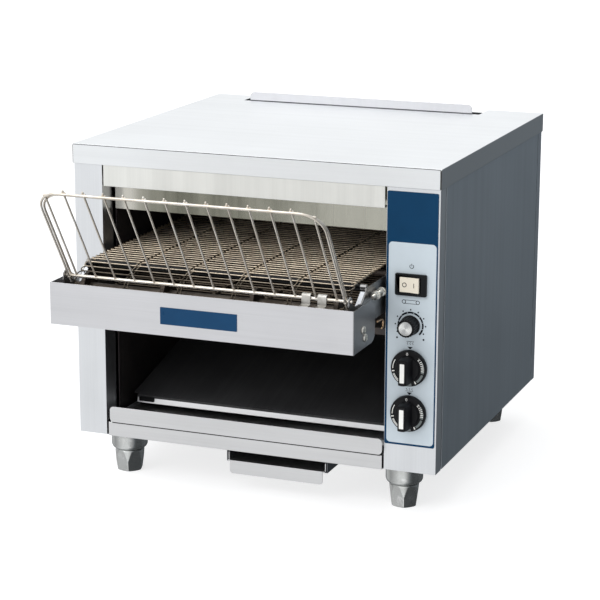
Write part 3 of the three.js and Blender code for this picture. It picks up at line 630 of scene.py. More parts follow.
def rounded(x0, x1, z0, z1, r, corners=(1, 1, 1, 1), n=6):
    pts = []
    for (cx, cz, a0, on, px, pz) in (
        (x0 + r, z0 + r, 180, corners[0], x0, z0),
        (x1 - r, z0 + r, 270, corners[1], x1, z0),
        (x1 - r, z1 - r, 0, corners[2], x1, z1),
        (x0 + r, z1 - r, 90, corners[3], x0, z1),
    ):
        if not on:
            pts.append((px, pz))
            continue
        for i in range(n + 1):
            a = math.radians(a0 + 90 * i / n)
            pts.append((cx + r * math.cos(a), cz + r * math.sin(a)))
    return pts


def ring(cx, cz, r, n=32, start=0.0):
    return [(cx + r * math.cos(start + 2 * math.pi * i / n), cz + r * math.sin(start + 2 * math.pi * i / n)) for i in range(n)]


def arc_band(cx, cz, r0, r1, a0, a1, n=16):
    """A curved band; angles in degrees clockwise from the top, seen from the front."""
    pts = []
    for i in range(n + 1):
        a = math.radians(a0 + (a1 - a0) * i / n)
        pts.append((cx + r1 * math.sin(a), cz + r1 * math.cos(a)))
    for i in range(n + 1):
        a = math.radians(a1 + (a0 - a1) * i / n)
        pts.append((cx + r0 * math.sin(a), cz + r0 * math.cos(a)))
    return pts


def spline(pts, per=4, closed=False):
    """Catmull-Rom through points."""
    pts = [Vector(p) for p in pts]
    m = len(pts)
    out = []
    rng = range(m if closed else m - 1)
    for i in rng:
        p0 = pts[(i - 1) % m] if closed or i else pts[0]
        p1, p2 = pts[i], pts[(i + 1) % m]
        p3 = pts[(i + 2) % m] if closed or i < m - 2 else pts[-1]
        for k in range(per):
            t = k / per
            out.append(0.5 * ((2 * p1) + (p2 - p0) * t + (2 * p0 - 5 * p1 + 4 * p2 - p3) * t * t + (3 * p1 - p0 - 3 * p2 + p3) * t ** 3))
    if not closed:
        out.append(pts[-1])
    return out


def screw_head(build, axis, c, base, out, r=4.0, h=2.2, cross=True):
    """A pan-head screw with a cross recess: rings of vertices pushed in where the cross runs."""
    sgn = 1 if out > 0 else -1
    prof = [(0, 0.0), (r, 0.0), (r, 0.35 * h), (0.93 * r, 0.62 * h), (0.78 * r, 0.83 * h), (0.62 * r, 0.93 * h), (0.45 * r, 0.98 * h), (0.28 * r, h), (0.14 * r, h), (0, h)]
    n = 48
    verts, faces, rings = [], [], []
    for q, a in prof:
        one = []
        if q == 0:
            depth = 0.9 if (a > 0 and cross) else 0.0
            verts.append(Build.at(axis, c, base + sgn * (a - depth * (a > 0)), 0, 0))
            rings.append([len(verts) - 1])
            continue
        for j in range(n):
            t = 2 * math.pi * j / n
            u, v = q * math.cos(t), q * math.sin(t)
            dep = 0.0
            if cross and a > 0.8 * h:
                w = 0.13 * r
                if min(abs(u), abs(v)) < w and max(abs(u), abs(v)) < 0.60 * r:
                    dep = 0.9
            one.append(len(verts))
            verts.append(Build.at(axis, c, base + sgn * (a - dep), u, v))
        rings.append(one)
    for r0, r1 in zip(rings, rings[1:]):
        for j in range(n):
            k = (j + 1) % n
            if len(r0) == 1:
                faces.append((r0[0], r1[k], r1[j]))
            elif len(r1) == 1:
                faces.append((r0[j], r0[k], r1[0]))
            else:
                faces.append((r0[j], r0[k], r1[k], r1[j]))
    build.add(verts, faces)


def hexed(apothem, turn=0.0):
    """For lathe(): cuts a round profile to a hexagon of that apothem, which may vary along the axis."""
    def f(t, a, r):
        ap = apothem(a) if callable(apothem) else apothem
        d = (math.degrees(t) - turn) % 60.0 - 30.0
        return min(r, ap / math.cos(math.radians(d)))
    return f


# ---------------------------------------------------------------------------------------------
# CAD nodes that keep their shape: finish and rounded edges
# ---------------------------------------------------------------------------------------------
soften("top_cover", M["cover"], 0.55, 3)
soften("vent_deflector", M["flap"], 0.35, 2)
soften("front_column_left", M["column"], 0.45, 3)
soften("front_column_right", M["column"], 0.45, 3)
soften("side_panel_left", M["side"], 0.4, 2)
soften("side_panel_right", M["side"], 0.4, 2)
soften("rear_panel", M["side"], 0.0)
soften("upper_front_panel", M["panel"], 0.45, 3)
soften("heat_baffle", M["baffle"], 0.35, 2)
soften("bottom_front_rail", M["tray"], 0.5, 3)
soften("base_pan", M["under"], 0.3, 2)
soften("collection_tray", M["tray"], 0.4, 3)
soften("drip_tray", M["tray"], 0.35, 3)
soften("drip_tray_guide", M["guide"], 0.35, 2)
soften("front_cover", M["trough"], 0.4, 3)
soften("chamber_wall_left", M["chamber"], 0.3, 2)
soften("chamber_wall_right", M["chamber"], 0.3, 2)
soften("chamber_ceiling", M["chamber"], 0.3, 2)
soften("chamber_rear_wall", M["shield"], 0.3, 2)
soften("lower_heat_shield", M["shield"], 0.3, 2)
soften("discharge_chute", M["chute"], 0.35, 2)
soften("conveyor_frame", M["frame"], 0.0)
# pierced plates keep flat faces: a bevel over their many holes would leave stray faces
for node in ("conveyor_frame", "rear_panel"):
    for poly in NODES[node].data.polygons:
        poly.use_smooth = False
soften("rack_clip_inner", M["clip"], 0.25, 2)
soften("rack_clip_outer", M["clip"], 0.25, 2)
soften("drive_sprocket", M["sprocket"], 0.3, 2)
soften("motor_sprocket", M["sprocket"], 0.3, 2)
soften("drive_chain", M["chain"], 0.4, 2)
soften("drive_motor", M["motor"], 1.0, 3)
soften("top_heat_regulator", M["bakelite"], 0.8, 2)
soften("bottom_heat_regulator", M["bakelite"], 0.8, 2)
soften("speed_potentiometer", M["sprocket"], 0.5, 2)
soften("terminal_block", M["terminal"], 0.5, 2)
soften("power_switch_bezel", M["switch"], 0.55, 3)
soften("power_switch_rocker", M["ivory"], 0.6, 3, 20)


# ---------------------------------------------------------------------------------------------
# Wire belt
# ---------------------------------------------------------------------------------------------
WIRE_R = 0.82
BELT_X = (-197.5, 168.5)
HOOKS = (-124.0, -51.0, 22.0, 95.0)
AX_F, AX_R, BELT_R, BELT_TOP = (-92.5, 284.5), (350.0, 294.0), 22.0, 316.0


def belt_path():
    r = BELT_R - WIRE_R - 0.05
    pts = []
    for c, a0, a1, n in ((AX_R, -91.2, 90.0, 40), (AX_F, 109.0, 268.8, 40)):
        for i in range(n + 1):
            a = math.radians(a0 + (a1 - a0) * i / n)
            pts.append((c[0] + r * math.cos(a), c[1] + r * math.sin(a)))
        if c is AX_R:
            pts.append((-70.0, BELT_TOP - WIRE_R - 0.05))
    return pts


PATH = belt_path()
CUM = [0.0]
for i in range(len(PATH)):
    a, b = PATH[i], PATH[(i + 1) % len(PATH)]
    CUM.append(CUM[-1] + math.hypot(b[0] - a[0], b[1] - a[1]))
LOOP = CUM[-1]


def on_belt(s):
    """(y, z), outward normal at arc length s along the belt."""
    s %= LOOP
    lo, hi = 0, len(CUM) - 1
    while hi - lo > 1:
        mid = (lo + hi) // 2
        if CUM[mid] <= s:
            lo = mid
        else:
            hi = mid
    a, b = PATH[lo % len(PATH)], PATH[(lo + 1) % len(PATH)]
    t = (s - CUM[lo]) / max(CUM[lo + 1] - CUM[lo], 1e-9)
    ty, tz = b[0] - a[0], b[1] - a[1]
    k = math.hypot(ty, tz) or 1
    return (a[0] + ty * t, a[1] + tz * t), (tz / k, -ty / k)


def belt():
    count = round(LOOP / 11.0)
    p = LOOP / count
    x0, x1 = BELT_X[0] + 1.0, BELT_X[1] - 1.0
    track = [(x0 + 7.6, p - 1.2, -1.5), (x0 + 7.0, p + 1.4, -1.7), (x0 + 4.6, p + 2.4, -1.75), (x0 + 2.2, p + 1.6, -1.7),
             (x0 + 1.0, p - 2.0, -0.9), (x0 + 1.0, 5.5, -0.1), (x0 + 2.4, 1.8, 0), (x0 + 5.0, 0.3, 0), (x0 + 9.0, 0, 0)]
    for xk in HOOKS:
        left = [(xk - 6.4, 0, 0), (xk - 4.1, 0.3, 0), (xk - 2.7, 1.9, 0), (xk - 2.2, 4.4, -0.1), (xk - 2.4, p - 3.0, -0.6), (xk - 2.9, p + 0.2, -1.6), (xk - 1.7, p + 2.0, -1.72)]
        track += left + [(xk, p + 2.6, -1.75)] + [(2 * xk - a, b, c) for a, b, c in reversed(left)]
    track += [(x1 - (a - x0), b, c) for a, b, c in reversed(track[:9])]
    fine = spline(track, 2)
    rnd = random.Random(11)
    b = Build()
    for i in range(count):
        s0 = i * p + rnd.uniform(-0.35, 0.35)
        sag = rnd.uniform(-0.10, 0.10)
        wob = rnd.uniform(0, 6.28)
        pts = []
        for x, ds, h in fine:
            (y, z), (ny, nz) = on_belt(s0 - ds + 0.18 * math.sin(x * 0.05 + wob))
            hh = h + sag * math.sin(math.pi * (x - x0) / (x1 - x0)) - 0.08
            pts.append((x, y + ny * hh, z + nz * hh))
        b.tube(pts, WIRE_R, 6, ends="flat")
    return b.make("belt_wires", M["belt"], "cabinet", "belt_wire", "conveyor_belt", angle=70)


belt()


# Shafts with their belt wheels
def shaft(name, x0, x1, c, body, node):
    core, wheel = 6.0, BELT_R - 1.8 - 0.5
    prof = [(0, x0), (core - 0.6, x0), (core, x0 + 0.6)]
    for wx in (-185, -75, 45, 155):
        prof += [(core, wx - 4.6), (core + 0.8, wx - 3.9), (wheel - 0.7, wx - 3.0), (wheel, wx - 2.4), (wheel, wx + 2.4), (wheel - 0.7, wx + 3.0), (core + 0.8, wx + 3.9), (core, wx + 4.6)]
    prof += [(core, x1 - 0.6), (core - 0.6, x1), (0, x1)]
    Build().lathe(prof, "x", c, 48).make(name, M["shaft"], body, "shaft_steel", node, angle=28)


shaft("front_shaft_turned", -211, 181, AX_F, "front_shaft_body", "front_shaft")
shaft("rear_shaft_turned", -206.3, 193.5, AX_R, "rear_shaft_body", "rear_shaft")

# Heater rods with end ferrules
for node, y, z, r in (("upper_heater_front", 120, 395, 5), ("upper_heater_rear", 300, 395, 5), ("lower_heater_front", 100, 289, 4), ("lower_heater_rear", 230, 289, 4)):
    prof = [(0, -206.2), (r - 0.8, -206.2), (r, -205.4), (r, -196)]
    x = -190
    while x < 170:
        prof += [(r - 0.12, x), (r, x + 6), (r - 0.05, x + 12)]
        x += 18
    prof += [(r, 172), (r, 183), (r * 0.62, 183.4), (r * 0.62, 190), (r * 0.4, 190.3), (r * 0.4, 193), (0, 193)]
    Build().lathe(prof, "x", (y, z), 28).make(node + "_sheathed", M["heater"], "cabinet", "heater_sheath", node, angle=30)


# ---------------------------------------------------------------------------------------------
# Feed rack: two bent rods with fourteen bars welded between them
# ---------------------------------------------------------------------------------------------
def rack():
    lean, length = math.radians(34), 146.0
    py, pz = -118.0, 304.0
    x0, x1, R = -198.0, 171.0, 29.0
    c, s = math.cos(lean), math.sin(lean)

    def at(u, v, w):
        return (u, w * c - v * s + py, w * s + v * c + pz)

    b = Build()
    for w, top in ((-2.65, length + 1.9), (2.65, length - 4.5)):
        pts = [(x0, -8.3), (x0, 20), (x0, 60), (x0, top - R)]
        pts += [(x0 + R - R * math.cos(math.radians(a)), top - R + R * math.sin(math.radians(a))) for a in range(9, 90, 9)]
        pts += [(x0 + R, top), (x0 + 120, top), (x1 - 120, top), (x1 - R, top)]
        pts += [(x1 - R + R * math.sin(math.radians(a)), top - R + R * math.cos(math.radians(a))) for a in range(9, 90, 9)]
        pts += [(x1, top - R), (x1, 60), (x1, 20), (x1, -8.3)]
        b.tube([at(u, v, w) for u, v in pts], 1.5, 16)
    b.tube([at(-206.2, 0, 0), at(-120, 0, 0), at(40, 0, 0), at(178, 0, 0)], 2.05, 16)
    for i in range(14):
        x = -188 + 26.75 * i
        top = length - 4 if i in (0, 13) else length + 5.2
        bow = 0.25 * math.sin(i * 1.7)
        b.tube([at(x, -0.6, 0), at(x + bow, length * 0.4, 0), at(x, top - 8, 0), at(x, top, 0)], 1.3, 14)
        # weld beads at the rail and between the two top rods
        for v, rr in ((0.0, 2.4), (min(top - 1.0, length + 1.5), 1.8)):
            b.tube([at(x - 2.3, v, 0), at(x - 1.0, v, 0), at(x + 1.0, v, 0), at(x + 2.3, v, 0)], [rr * 0.62, rr, rr, rr * 0.62], 12)
    for x in (x0, x1):
        b.tube([at(x, 0, -3.0), at(x, 0, -1.2), at(x, 0, 1.2), at(x, 0, 3.0)], [2.3, 2.7, 2.7, 2.3], 12)
    return b.make("rack_bent_rods", M["rack"], "feed_rack_body", "rack_rod", "feed_rack", angle=60)


rack()


# ---------------------------------------------------------------------------------------------
# Control panel: film, printed panel, scales and symbols
# ---------------------------------------------------------------------------------------------
KX = 214.1
KZ = {"speed": 250.7, "top": 195.8, "bottom": 136.6, "power": 302.5}
holes = [[(195.5, 291), (195.5, 314), (232.5, 314), (232.5, 291)]] + [ring(KX, KZ[k], 5, 32) for k in ("speed", "top", "bottom")]
Build().prism(rounded(181.7, 247.8, 93.2, 419.0, 2.0), "y", -0.86, -0.3, holes).make("film_base", M["film"], "cabinet", "overlay_film", "control_overlay")
Build().prism(rounded(184.4, 246.3, 95.8, 355.2, 5.0, n=10), "y", -0.93, -0.84, holes).make("film_panel", M["film_light"], "cabinet", "overlay_film")
INK = (-0.99, -0.92)


def prints():
    b = Build()
    z = KZ["speed"]
    for a in (-90, -60, -30, 0, 30, 60, 90, 120, -120):
        b.prism(ring(KX + 19.75 * math.sin(math.radians(a)), z + 19.75 * math.cos(math.radians(a)), 1.0, 14), "y", *INK)
    for a in (-135, 135):
        b.prism(ring(KX + 24.5 * math.sin(math.radians(a)), z + 24.5 * math.cos(math.radians(a)), 1.25, 18), "y", *INK)
    for k in range(9):
        a0 = -135 + 30 * k
        b.prism(arc_band(KX, z, 15.0, 17.3 if k > 2 else 16.9, a0 + 1.1, a0 + 28.9), "y", *INK)
    # pointers over the two heat dials
    for top, tip in ((222.7, 219.4), (163.5, 160.0)):
        b.prism([(KX - 3.5, top), (KX, tip), (KX + 3.5, top)], "y", *INK)
    # power symbol over the switch
    b.prism(arc_band(KX + 0.4, 325.6, 2.1, 2.9, 34, 326, 24), "y", *INK)
    b.prism([(KX + 0.05, 325.9), (KX + 0.75, 325.9), (KX + 0.75, 329.2), (KX + 0.05, 329.2)], "y", *INK)
    # belt symbol over the speed knob: two pulleys and a band
    for cx in (KX - 9, KX + 9):
        b.prism(ring(cx, 280.2, 2.7, 20), "y", *INK, holes=[list(reversed(ring(cx, 280.2, 1.9, 20)))])
    for zz in (277.7, 282.1):
        b.prism([(KX - 9, zz), (KX + 9, zz), (KX + 9, zz + 0.6), (KX - 9, zz + 0.6)], "y", *INK)
    # heat symbols: three short waves over a line, above one dial and under a line for the other
    for zc, side in ((227.0, 1), (167.8, -1)):
        for k in (-1, 0, 1):
            wave = [(KX + 3.4 * k + 0.7 * math.sin(q * 1.6), zc - 1.6 + q * 0.64) for q in range(6)]
            b.prism([(u - 0.32, v) for u, v in wave] + [(u + 0.32, v) for u, v in reversed(wave)], "y", *INK)
        zl = zc - 2.9 if side < 0 else zc + 2.3
        b.prism([(KX - 5, zl), (KX + 5, zl), (KX + 5, zl + 0.55), (KX - 5, zl + 0.55)], "y", *INK)
    b.make("film_ink", M["ink"], "cabinet", "overlay_film")


prints()


# Heat dials
def heat_knob(which, body):
    z = KZ[which]
    b = Build()
    prof = [(0, 12), (2.6, 12), (3.0, 11.6), (3.0, -1.6), (22.3, -1.6), (23.2, -1.9), (23.5, -2.6), (23.4, -4.5), (23.1, -6.6), (22.7, -7.6), (22.0, -8.15), (21.2, -8.3), (16.6, -8.35), (15.9, -8.6), (15.2, -10.6), (14.4, -11.3), (13.2, -11.6), (0, -11.6)]
    b.lathe(prof, "y", (KX, z), 96)
    # tall grip with flat cheeks: a circle cut to a narrowing width
    rings = []
    for y, w, rad in ((-10.5, 7.6, 17.2), (-12.5, 7.0, 17.1), (-18, 6.4, 17.0), (-24, 5.9, 16.9), (-29.4, 5.45, 16.7), (-31.0, 5.15, 16.3), (-31.75, 4.6, 15.7), (-32.0, 3.9, 15.0)):
        a0 = math.asin(min(w / rad, 1))
        pts = []
        for k in range(13):
            a = -a0 + 2 * a0 * k / 12
            pts.append((KX + rad * math.sin(a), y, z + rad * math.cos(a)))
        for k in range(13):
            a = math.pi - a0 + 2 * a0 * k / 12
            pts.append((KX + rad * math.sin(a), y, z + rad * math.cos(a)))
        rings.append(pts)
    b.loft(rings)
    b.make(which + "_dial", M["knob"], body, "knob_black", which + "_heat_knob", angle=26)
    # bright inlay along the grip
    Build().prism(rounded(KX - 2.9, KX + 2.9, z - 12.2, z + 12.4, 0.5, n=3), "y", -32.25, -31.6).make(which + "_dial_inlay", M["white"], body, "knob_black", bevel=0.12)
    y = (-8.46, -8.2)
    w = Build()
    a = math.radians(-4)
    cx, cz = KX + 19.2 * math.sin(a), z + 19.2 * math.cos(a)
    outer = [(cx + 1.25 * math.cos(t * math.pi / 12), cz + 1.9 * math.sin(t * math.pi / 12)) for t in range(24)]
    inner = [(cx + 0.62 * math.cos(t * math.pi / 12), cz + 1.2 * math.sin(t * math.pi / 12)) for t in range(24)]
    w.prism(outer, "y", *y, holes=[list(reversed(inner))])
    w.prism(arc_band(KX, z, 18.9, 19.7, 214, 249), "y", *y)
    w.prism(arc_band(KX, z, 20.3, 21.1, 214, 249), "y", *y)
    w.prism(arc_band(KX, z, 19.4, 20.3, 268, 303), "y", *y)
    w.prism(arc_band(KX, z, 17.9, 21.4, 256.5, 260.5, 4), "y", *y)
    w.prism(arc_band(KX, z, 17.8, 21.2, 148, 152, 4), "y", *y)
    # number marks at the start of the widening scale
    w.prism(arc_band(KX, z, 17.6, 20.6, 46.5, 49.0, 4), "y", *y)
    w.prism(arc_band(KX, z, 19.8, 20.6, 44, 52, 4), "y", *y)
    w.prism(arc_band(KX, z, 17.4, 18.2, 45, 53, 4), "y", *y)
    for k in range(6):
        w.prism(arc_band(KX, z, 17.2, 21.0, 57 + 7.2 * k, 59.6 + 7.2 * k, 3), "y", *y)
    w.make(which + "_dial_scale", M["white"], body, "knob_black")
    g = Build()
    wedge = [(KX + (21.2) * math.sin(math.radians(a)), z + 21.2 * math.cos(math.radians(a))) for a in range(55, 104, 4)]
    wedge += [(KX + (20.4 - 3.4 * (a - 55) / 48) * math.sin(math.radians(a)), z + (20.4 - 3.4 * (a - 55) / 48) * math.cos(math.radians(a))) for a in range(103, 54, -4)]
    g.prism(wedge, "y", -8.40, -8.2)
    g.prism(arc_band(KX, z, 18.2, 21.0, 108, 143), "y", -8.40, -8.2)
    g.prism(arc_band(KX, z, 18.4, 22.0, 166, 190), "y", -8.40, -8.2)
    g.make(which + "_dial_bands", M["dial_grey"], body, "knob_black")


heat_knob("top", "top_heat_knob_body")
heat_knob("bottom", "bottom_heat_knob_body")


# Speed knob with ribbed body
def speed_knob():
    z = KZ["speed"]
    b = Build()

    def ribs(t, a, r):
        if -20.6 < a < -5.0 and r > 10.5:
            return r + 0.45 * math.cos(20 * t)
        return r

    prof = [(0, 10), (2.6, 10), (3.0, 9.6), (3.0, -1.6), (12.4, -1.6), (12.8, -2.0), (12.8, -4.4), (12.3, -5.0), (11.75, -5.3), (11.6, -8), (11.5, -12), (11.4, -16), (11.3, -19.8), (11.0, -20.7), (10.4, -21.0), (9.7, -21.0), (9.2, -20.7), (9.2, -19.6), (0, -19.6)]
    b.lathe(prof, "y", (KX, z), 160, ribs)
    b.make("speed_knob_body_ribbed", M["knob"], "speed_knob_body", "knob_black", "speed_knob", angle=40)
    cap = [(0, -19.8), (8.3, -19.8), (8.85, -20.2), (8.85, -21.4), (8.5, -21.85), (8.0, -21.97), (7.4, -21.85), (7.1, -21.75), (3.0, -21.9), (0, -21.95)]
    Build().lathe(cap, "y", (KX, z), 72).make("speed_knob_disc", M["cap"], "speed_knob_body", "knob_cap", "speed_knob_cap", angle=30)
    a = math.radians(-135)
    u, v = math.sin(a), math.cos(a)
    q = Build()
    pts = [(KX + u * r + n * v * 0.75, z + v * r - n * u * 0.75) for r, n in ((9.6, -1), (12.9, -1), (12.9, 1), (9.6, 1))]
    q.prism(pts, "y", -5.25, -3.6)
    q.make("speed_knob_pointer", M["white"], "speed_knob_body", "knob_black")


speed_knob()

# Marks on the rocker: a ring and a bar
zc = KZ["power"]
Build().prism(ring(206.6, zc, 3.0, 32), "y", -5.09, -4.7, [list(reversed(ring(206.6, zc, 2.1, 32)))]).make("rocker_mark_off", M["ink"], "power_rocker_body", "switch_ivory")


def on_ramp(u, v, w):
    return (u, -5.0 - (u - 212.95) / 12.75 * 2.7 + w, v)


Build().prism([(218.8, zc - 2.9), (219.7, zc - 2.9), (219.7, zc + 2.9), (218.8, zc + 2.9)], "y", -0.09, 0.3, place=on_ramp).make("rocker_mark_on", M["ink"], "power_rocker_body", "switch_ivory")


# ---------------------------------------------------------------------------------------------
# Front cover: blank name plate, screws; tensioner screws; small rod by the column
# ---------------------------------------------------------------------------------------------
Build().prism(rounded(-65.0, 37.5, 258.0, 279.7, 0.6, n=3), "y", -137.75, -136.9).make("blank_plate", M["badge"], "cabinet", "overlay_film", bevel=0.22)
screws = Build()
for y, z in ((-103.6, 267), (-97, 256)):
    screw_head(screws, "x", (y, z), 187.9, 1, 5.0, 2.9)
    screw_head(screws, "x", (y, z), -216.9, -1, 5.0, 2.9)
screws.make("cover_screws", M["nut"], "cabinet", "shaft_steel", angle=30)


def tensioner(name, x):
    z = 296.0
    b = Build()
    prof = [(0, -57.0), (2.2, -57.0), (3.0, -56.2)]
    y = -55.8
    while y < -18.2:
        prof += [(2.55, y), (3.0, y + 0.5)]
        y += 1.0
    prof += [(3.0, -17.6), (2.4, -17.0), (0, -17.0)]
    b.lathe(prof, "y", (x, z), 24)
    for y0, y1 in ((-50, -44), (-30, -24)):
        nut = [(2.9, y0 + 0.1), (4.7, y0), (5.0, y0 + 0.1), (5.65, y0 + 0.7), (5.65, y1 - 0.7), (5.0, y1 - 0.1), (4.7, y1), (2.9, y1 - 0.1), (2.9, y0 + 0.1)]
        b.lathe(nut, "y", (x, z), 48, hexed(4.85, 12))
        b.lathe([(3.1, y1), (5.9, y1), (5.9, y1 + 0.8), (3.1, y1 + 0.8), (3.1, y1)], "y", (x, z), 36)
    b.make(name + "_threaded", M["nut"], "cabinet", "shaft_steel", name, angle=28)


tensioner("belt_tensioner_left", -211.6)
tensioner("belt_tensioner_right", 183.1)
rod = spline([(178.6, -24, 257.5), (178.8, -12, 257.2), (179.0, -5.5, 255.5), (179.1, -3.2, 251.5), (179.2, -4.5, 247.0), (179.2, -9, 245.4)], 6)
Build().tube(rod, 1.35, 14).make("latch_rod", M["brass"], "cabinet", "shaft_steel")

# Bright worn strip along the chute's folded front edge, with the blank spot weld pad at its left end
strip = [(66.9, 86.2), (69.6, 95.4), (78.2, 97.35), (78.2, 97.1), (69.9, 95.0), (69.9, 86.2)]
Build().prism(strip, "x", -197.0, 168.0).make("chute_edge_strip", M["tray"], "cabinet", "chute_steel")
Build().prism(rounded(-194.0, -172.0, 88.0, 94.4, 1.6, n=5), "y", 66.4, 68.8).make("chute_edge_pad", M["frame"], "cabinet", "chute_steel", bevel=0.12)

# Seams of the top cover's folded corners
seams = Build()
for x, w in ((249.3, 1.9), (-251.35, 0.6)):
    seams.prism([(x, 424.2), (x + w, 424.2), (x + w, 448.0), (x, 448.0)], "y", -1.56, -1.3)
# painted shadow: dark strips along the cover's folded front edge and at the foot of the flap

fold = Build()
fold.prism([(-250.6, 448.35), (250.2, 448.35), (250.2, 449.35), (-250.6, 449.35)], "y", -1.56, -1.3)
fold.prism([(-180.6, 447.0), (159.1, 447.0), (159.1, 450.7), (-180.6, 450.7)], "y", 431.2, 431.9)
fold.make("cover_painted_shadow_lines", M["fold"], "cabinet", "cover_steel")
seams.make("cover_corner_seams", M["seam"], "cabinet", "cover_steel")

# Painted shadow: dark pieces in the gaps under both ends of the flap, over the hot air outlet
flap_end_shadow = Build()
for x0, x1 in ((-190.6, -175.0), (154.0, 169.6)):
    flap_end_shadow.prism([(431.4, 446.6), (450.6, 446.6), (450.6, 449.4), (449.6, 449.4), (449.6, 447.6), (431.4, 447.6)], "x", x0, x1)
flap_end_shadow.make("outlet_painted_shadow", M["seam"], "cabinet", "chamber_steel")

# Painted highlight: thin white strips along the conveyor frame's inclined edges beside the belt's nose
edge = Build()
for x0, x1 in ((169.7, 175.4), (-204.0, -198.7)):
    n = (-0.577, 0.817)
    line = [(-84.3 + n[0] * 1.46, 286.84 + n[1] * 1.46), (-62.2 + n[0] * 1.46, 302.46 + n[1] * 1.46)]
    edge.prism([line[0], line[1], (line[1][0] + n[0] * 0.35, line[1][1] + n[1] * 0.35), (line[0][0] + n[0] * 0.35, line[0][1] + n[1] * 0.35)], "x", x0, x1)
edge.make("frame_nose_strips", M["strip"], "cabinet", "chute_steel", bevel=0.1)

# Painted shadow: a dark strip in the gap under the crumb tray's lip
Build().prism(rounded(-200.0, 177.5, 76.5, 77.75, 0.4, n=3), "y", -4.6, -2.3).make("tray_lip_painted_shadow", M["seam"], "collection_tray_body", "gland_black")

# Rear panel screws
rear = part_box("rear_panel")[1].y
rear_mm = (rear - FRONT) * 1000
rs = Build()
for x in (-238, -80, 80, 238):
    for z in (72, 408):
        if x == 80 and z == 72:
            continue
        screw_head(rs, "y", (x, z), rear_mm, 1, 3.6, 1.9)
for z in (180, 300):
    for x in (-238, 244.5):
        screw_head(rs, "y", (x, z), rear_mm, 1, 3.6, 1.9)
rs.make("rear_screws", M["nut"], "cabinet", "stainless", angle=30)


# ---------------------------------------------------------------------------------------------
# Feet and gland
# ---------------------------------------------------------------------------------------------
def feet():
    for where, x, y in (("front_left", -196, 40), ("front_right", 196, 40), ("rear_left", -196, 437), ("rear_right", 196, 437)):
        prof = [(6.6, 54), (6.6, 31.2), (15, 31.0), (19.0, 31.1), (20.2, 31.5), (21.4, 32.1), (22.6, 33.2), (23.5, 34.6), (24.05, 36.0), (24.25, 37.4), (24.25, 46), (24.25, 54.9), (23.8, 55.5), (0, 55.5)]
        prof = [(0, 54)] + prof
        Build().lathe(prof, "z", (x, y), 80).make("foot_cup_" + where, M["foot"], "cabinet", "foot_steel", "foot_socket_" + where, angle=30)
        prof = [(0, 0), (15.2, 0.0), (16.4, 0.25), (17.3, 0.8), (17.9, 1.7), (18.2, 2.8)]
        z = 3.6
        while z < 27:
            prof.append((18.25 + min(1.45, (z - 2.8) * 0.13), z))
            z += 0.55
        prof += [(19.7, 27.3), (19.6, 28.6), (19.2, 29.7), (18.4, 30.35), (16.5, 30.6), (6, 30.6), (6, 50), (0, 50)]
        Build().lathe(prof, "z", (x, y), 144, hexed(lambda a: 15.35 + 0.135 * max(a, 0), -73.5)).make("foot_screw_" + where, M["foot"], "foot_%s_body" % where, "foot_steel", "foot_adjuster_" + where, angle=14)


feet()

g = Build()
gx, gz = 214, 96
y0 = rear_mm - 8
body = [(4.2, y0), (8.2, y0), (8.6, y0 + 0.4), (8.6, rear_mm + 0.3), (13, rear_mm + 0.3), (13, rear_mm + 6.2), (12.2, rear_mm + 7), (9.5, rear_mm + 7), (9.5, rear_mm + 8), (9.0, rear_mm + 8.6), (9.5, rear_mm + 9.4), (9.5, rear_mm + 15), (8.9, rear_mm + 17.2), (7.4, rear_mm + 18), (4.2, rear_mm + 18), (4.2, y0)]


def gland_shape(t, a, r):
    if r > 9.6:
        return hexed(11.25)(t, a, r)
    if r > 9.2 and a > rear_mm + 9:
        return r + 0.25 * math.cos(16 * t) - 0.25
    return r


g.lathe(body, "y", (gx, gz), 96, gland_shape)
g.make("gland_body", M["gland"], "cabinet", "gland_black", "cord_gland", angle=28)


# ---------------------------------------------------------------------------------------------
# Floor, light, camera
# ---------------------------------------------------------------------------------------------
def floor():
    s = Shader("floor_pale")
    s.set("Base Color", (0.42, 0.42, 0.425, 1)).set("Roughness", 0.9)
    s.set("Specular IOR Level", 0.1)
    s.set("Emission Color", (1, 1, 1, 1)).set("Emission Strength", 0.74)
    me = bpy.data.meshes.new("floor")
    me.from_pydata([(-30, -30, -0.0003), (30, -30, -0.0003), (30, 30, -0.0003), (-30, 30, -0.0003)], [], [(0, 1, 2, 3)])
    o = bpy.data.objects.new("floor", me)
    me.materials.append(s.m)
    SCENE.collection.objects.link(o)
    o.visible_glossy = False


floor()


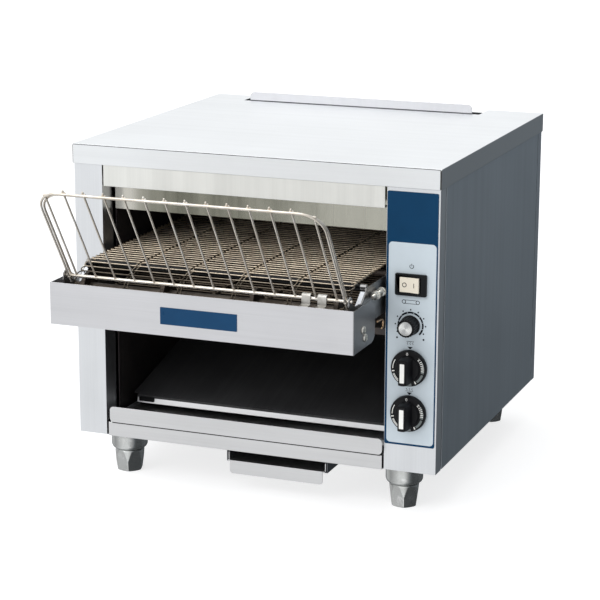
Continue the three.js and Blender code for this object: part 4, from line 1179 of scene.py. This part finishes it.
def world():
    """A white studio: bright overhead and from the front left, with a dark flag on the right."""
    w = bpy.data.worlds.new("studio")
    SCENE.world = w
    w.use_nodes = True
    t = w.node_tree
    t.nodes.clear()
    out = t.nodes.new("ShaderNodeOutputWorld")
    bg = t.nodes.new("ShaderNodeBackground")
    co = t.nodes.new("ShaderNodeTexCoord").outputs["Generated"]
    sep = t.nodes.new("ShaderNodeSeparateXYZ")
    t.links.new(co, sep.inputs[0])

    def m(op, a, b=0.0):
        n = t.nodes.new("ShaderNodeMath")
        n.operation = op
        for k, v in enumerate((a, b)):
            if isinstance(v, bpy.types.NodeSocket):
                t.links.new(v, n.inputs[k])
            else:
                n.inputs[k].default_value = v
        return n.outputs[0]

    def step(v, a, b, c=0.0, d=1.0):
        n = t.nodes.new("ShaderNodeMapRange")
        n.interpolation_type = "SMOOTHSTEP"
        t.links.new(v, n.inputs["Value"])
        for k, q in zip(("From Min", "From Max", "To Min", "To Max"), (a, b, c, d)):
            n.inputs[k].default_value = q
        return n.outputs["Result"]

    x, y, z = sep.outputs
    up = m("MULTIPLY", step(z, -0.05, 0.26, 0.0, 0.95), step(x, -0.05, 0.65, 1.0, 0.10))
    side = m("ADD", m("ADD", m("MULTIPLY", x, -0.66), m("MULTIPLY", y, -0.74)), m("MULTIPLY", z, 0.08))
    left = step(side, -0.30, 0.42, 0.0, 0.80)
    low = step(z, -0.42, -0.06, 0.07, 0.20)
    glow = m("ADD", m("MAXIMUM", up, left), low)
    t.links.new(glow, bg.inputs["Strength"])
    tone = t.nodes.new("ShaderNodeMix")
    tone.data_type = "RGBA"
    t.links.new(step(m("MAXIMUM", up, left), 0.0, 0.5), tone.inputs[0])
    tone.inputs[6].default_value = (0.86, 0.97, 1.06, 1)
    tone.inputs[7].default_value = (0.985, 0.995, 1.0, 1)
    t.links.new(tone.outputs[2], bg.inputs["Color"])
    white = t.nodes.new("ShaderNodeBackground")
    white.inputs["Color"].default_value = (1, 1, 1, 1)
    white.inputs["Strength"].default_value = 1.0
    lp = t.nodes.new("ShaderNodeLightPath")
    mx = t.nodes.new("ShaderNodeMixShader")
    t.links.new(lp.outputs["Is Camera Ray"], mx.inputs[0])
    t.links.new(bg.outputs[0], mx.inputs[1])
    t.links.new(white.outputs[0], mx.inputs[2])
    t.links.new(mx.outputs[0], out.inputs[0])


world()


def light(name, kind, loc, target, energy, size=1.0, size_y=None, color=(1, 1, 1)):
    d = bpy.data.lights.new(name, kind)
    d.energy = energy
    d.color = color
    if kind == "AREA":
        d.shape = "RECTANGLE"
        d.size, d.size_y = size, size_y or size
    if kind == "SUN":
        d.angle = math.radians(size)
    o = bpy.data.objects.new(name, d)
    SCENE.collection.objects.link(o)
    o.location = loc
    o.rotation_mode = "QUATERNION"
    o.rotation_quaternion = (Vector(target) - Vector(loc)).to_track_quat("-Z", "Y")
    return o


light("key_sky", "SUN", (-1.2, -2.0, 3.4), (0, 0, 0.2), 1.1, 50)
light("front_softbox", "AREA", (-1.6, -2.4, 1.5), (0, 0, 0.25), 6, 1.6, 1.2)

cam = bpy.data.cameras.new("camera")
cam.lens = 124.42
cam.sensor_width = 36.0
cam.clip_start, cam.clip_end = 0.05, 100
co = bpy.data.objects.new("camera", cam)
SCENE.collection.objects.link(co)
co.location = (0.9885, -2.5231, 0.9053)
az, el, roll = math.radians(21.2), math.radians(14.01), math.radians(0.19)
back = Vector((math.sin(az) * math.cos(el), -math.cos(az) * math.cos(el), math.sin(el)))
q = (-back).to_track_quat("-Z", "Y")
co.rotation_mode = "QUATERNION"
co.rotation_quaternion = q @ Matrix.Rotation(roll, 3, "Z").to_quaternion()
SCENE.camera = co
SCENE.view_settings.view_transform = "Standard"
SCENE.view_settings.look = "None"
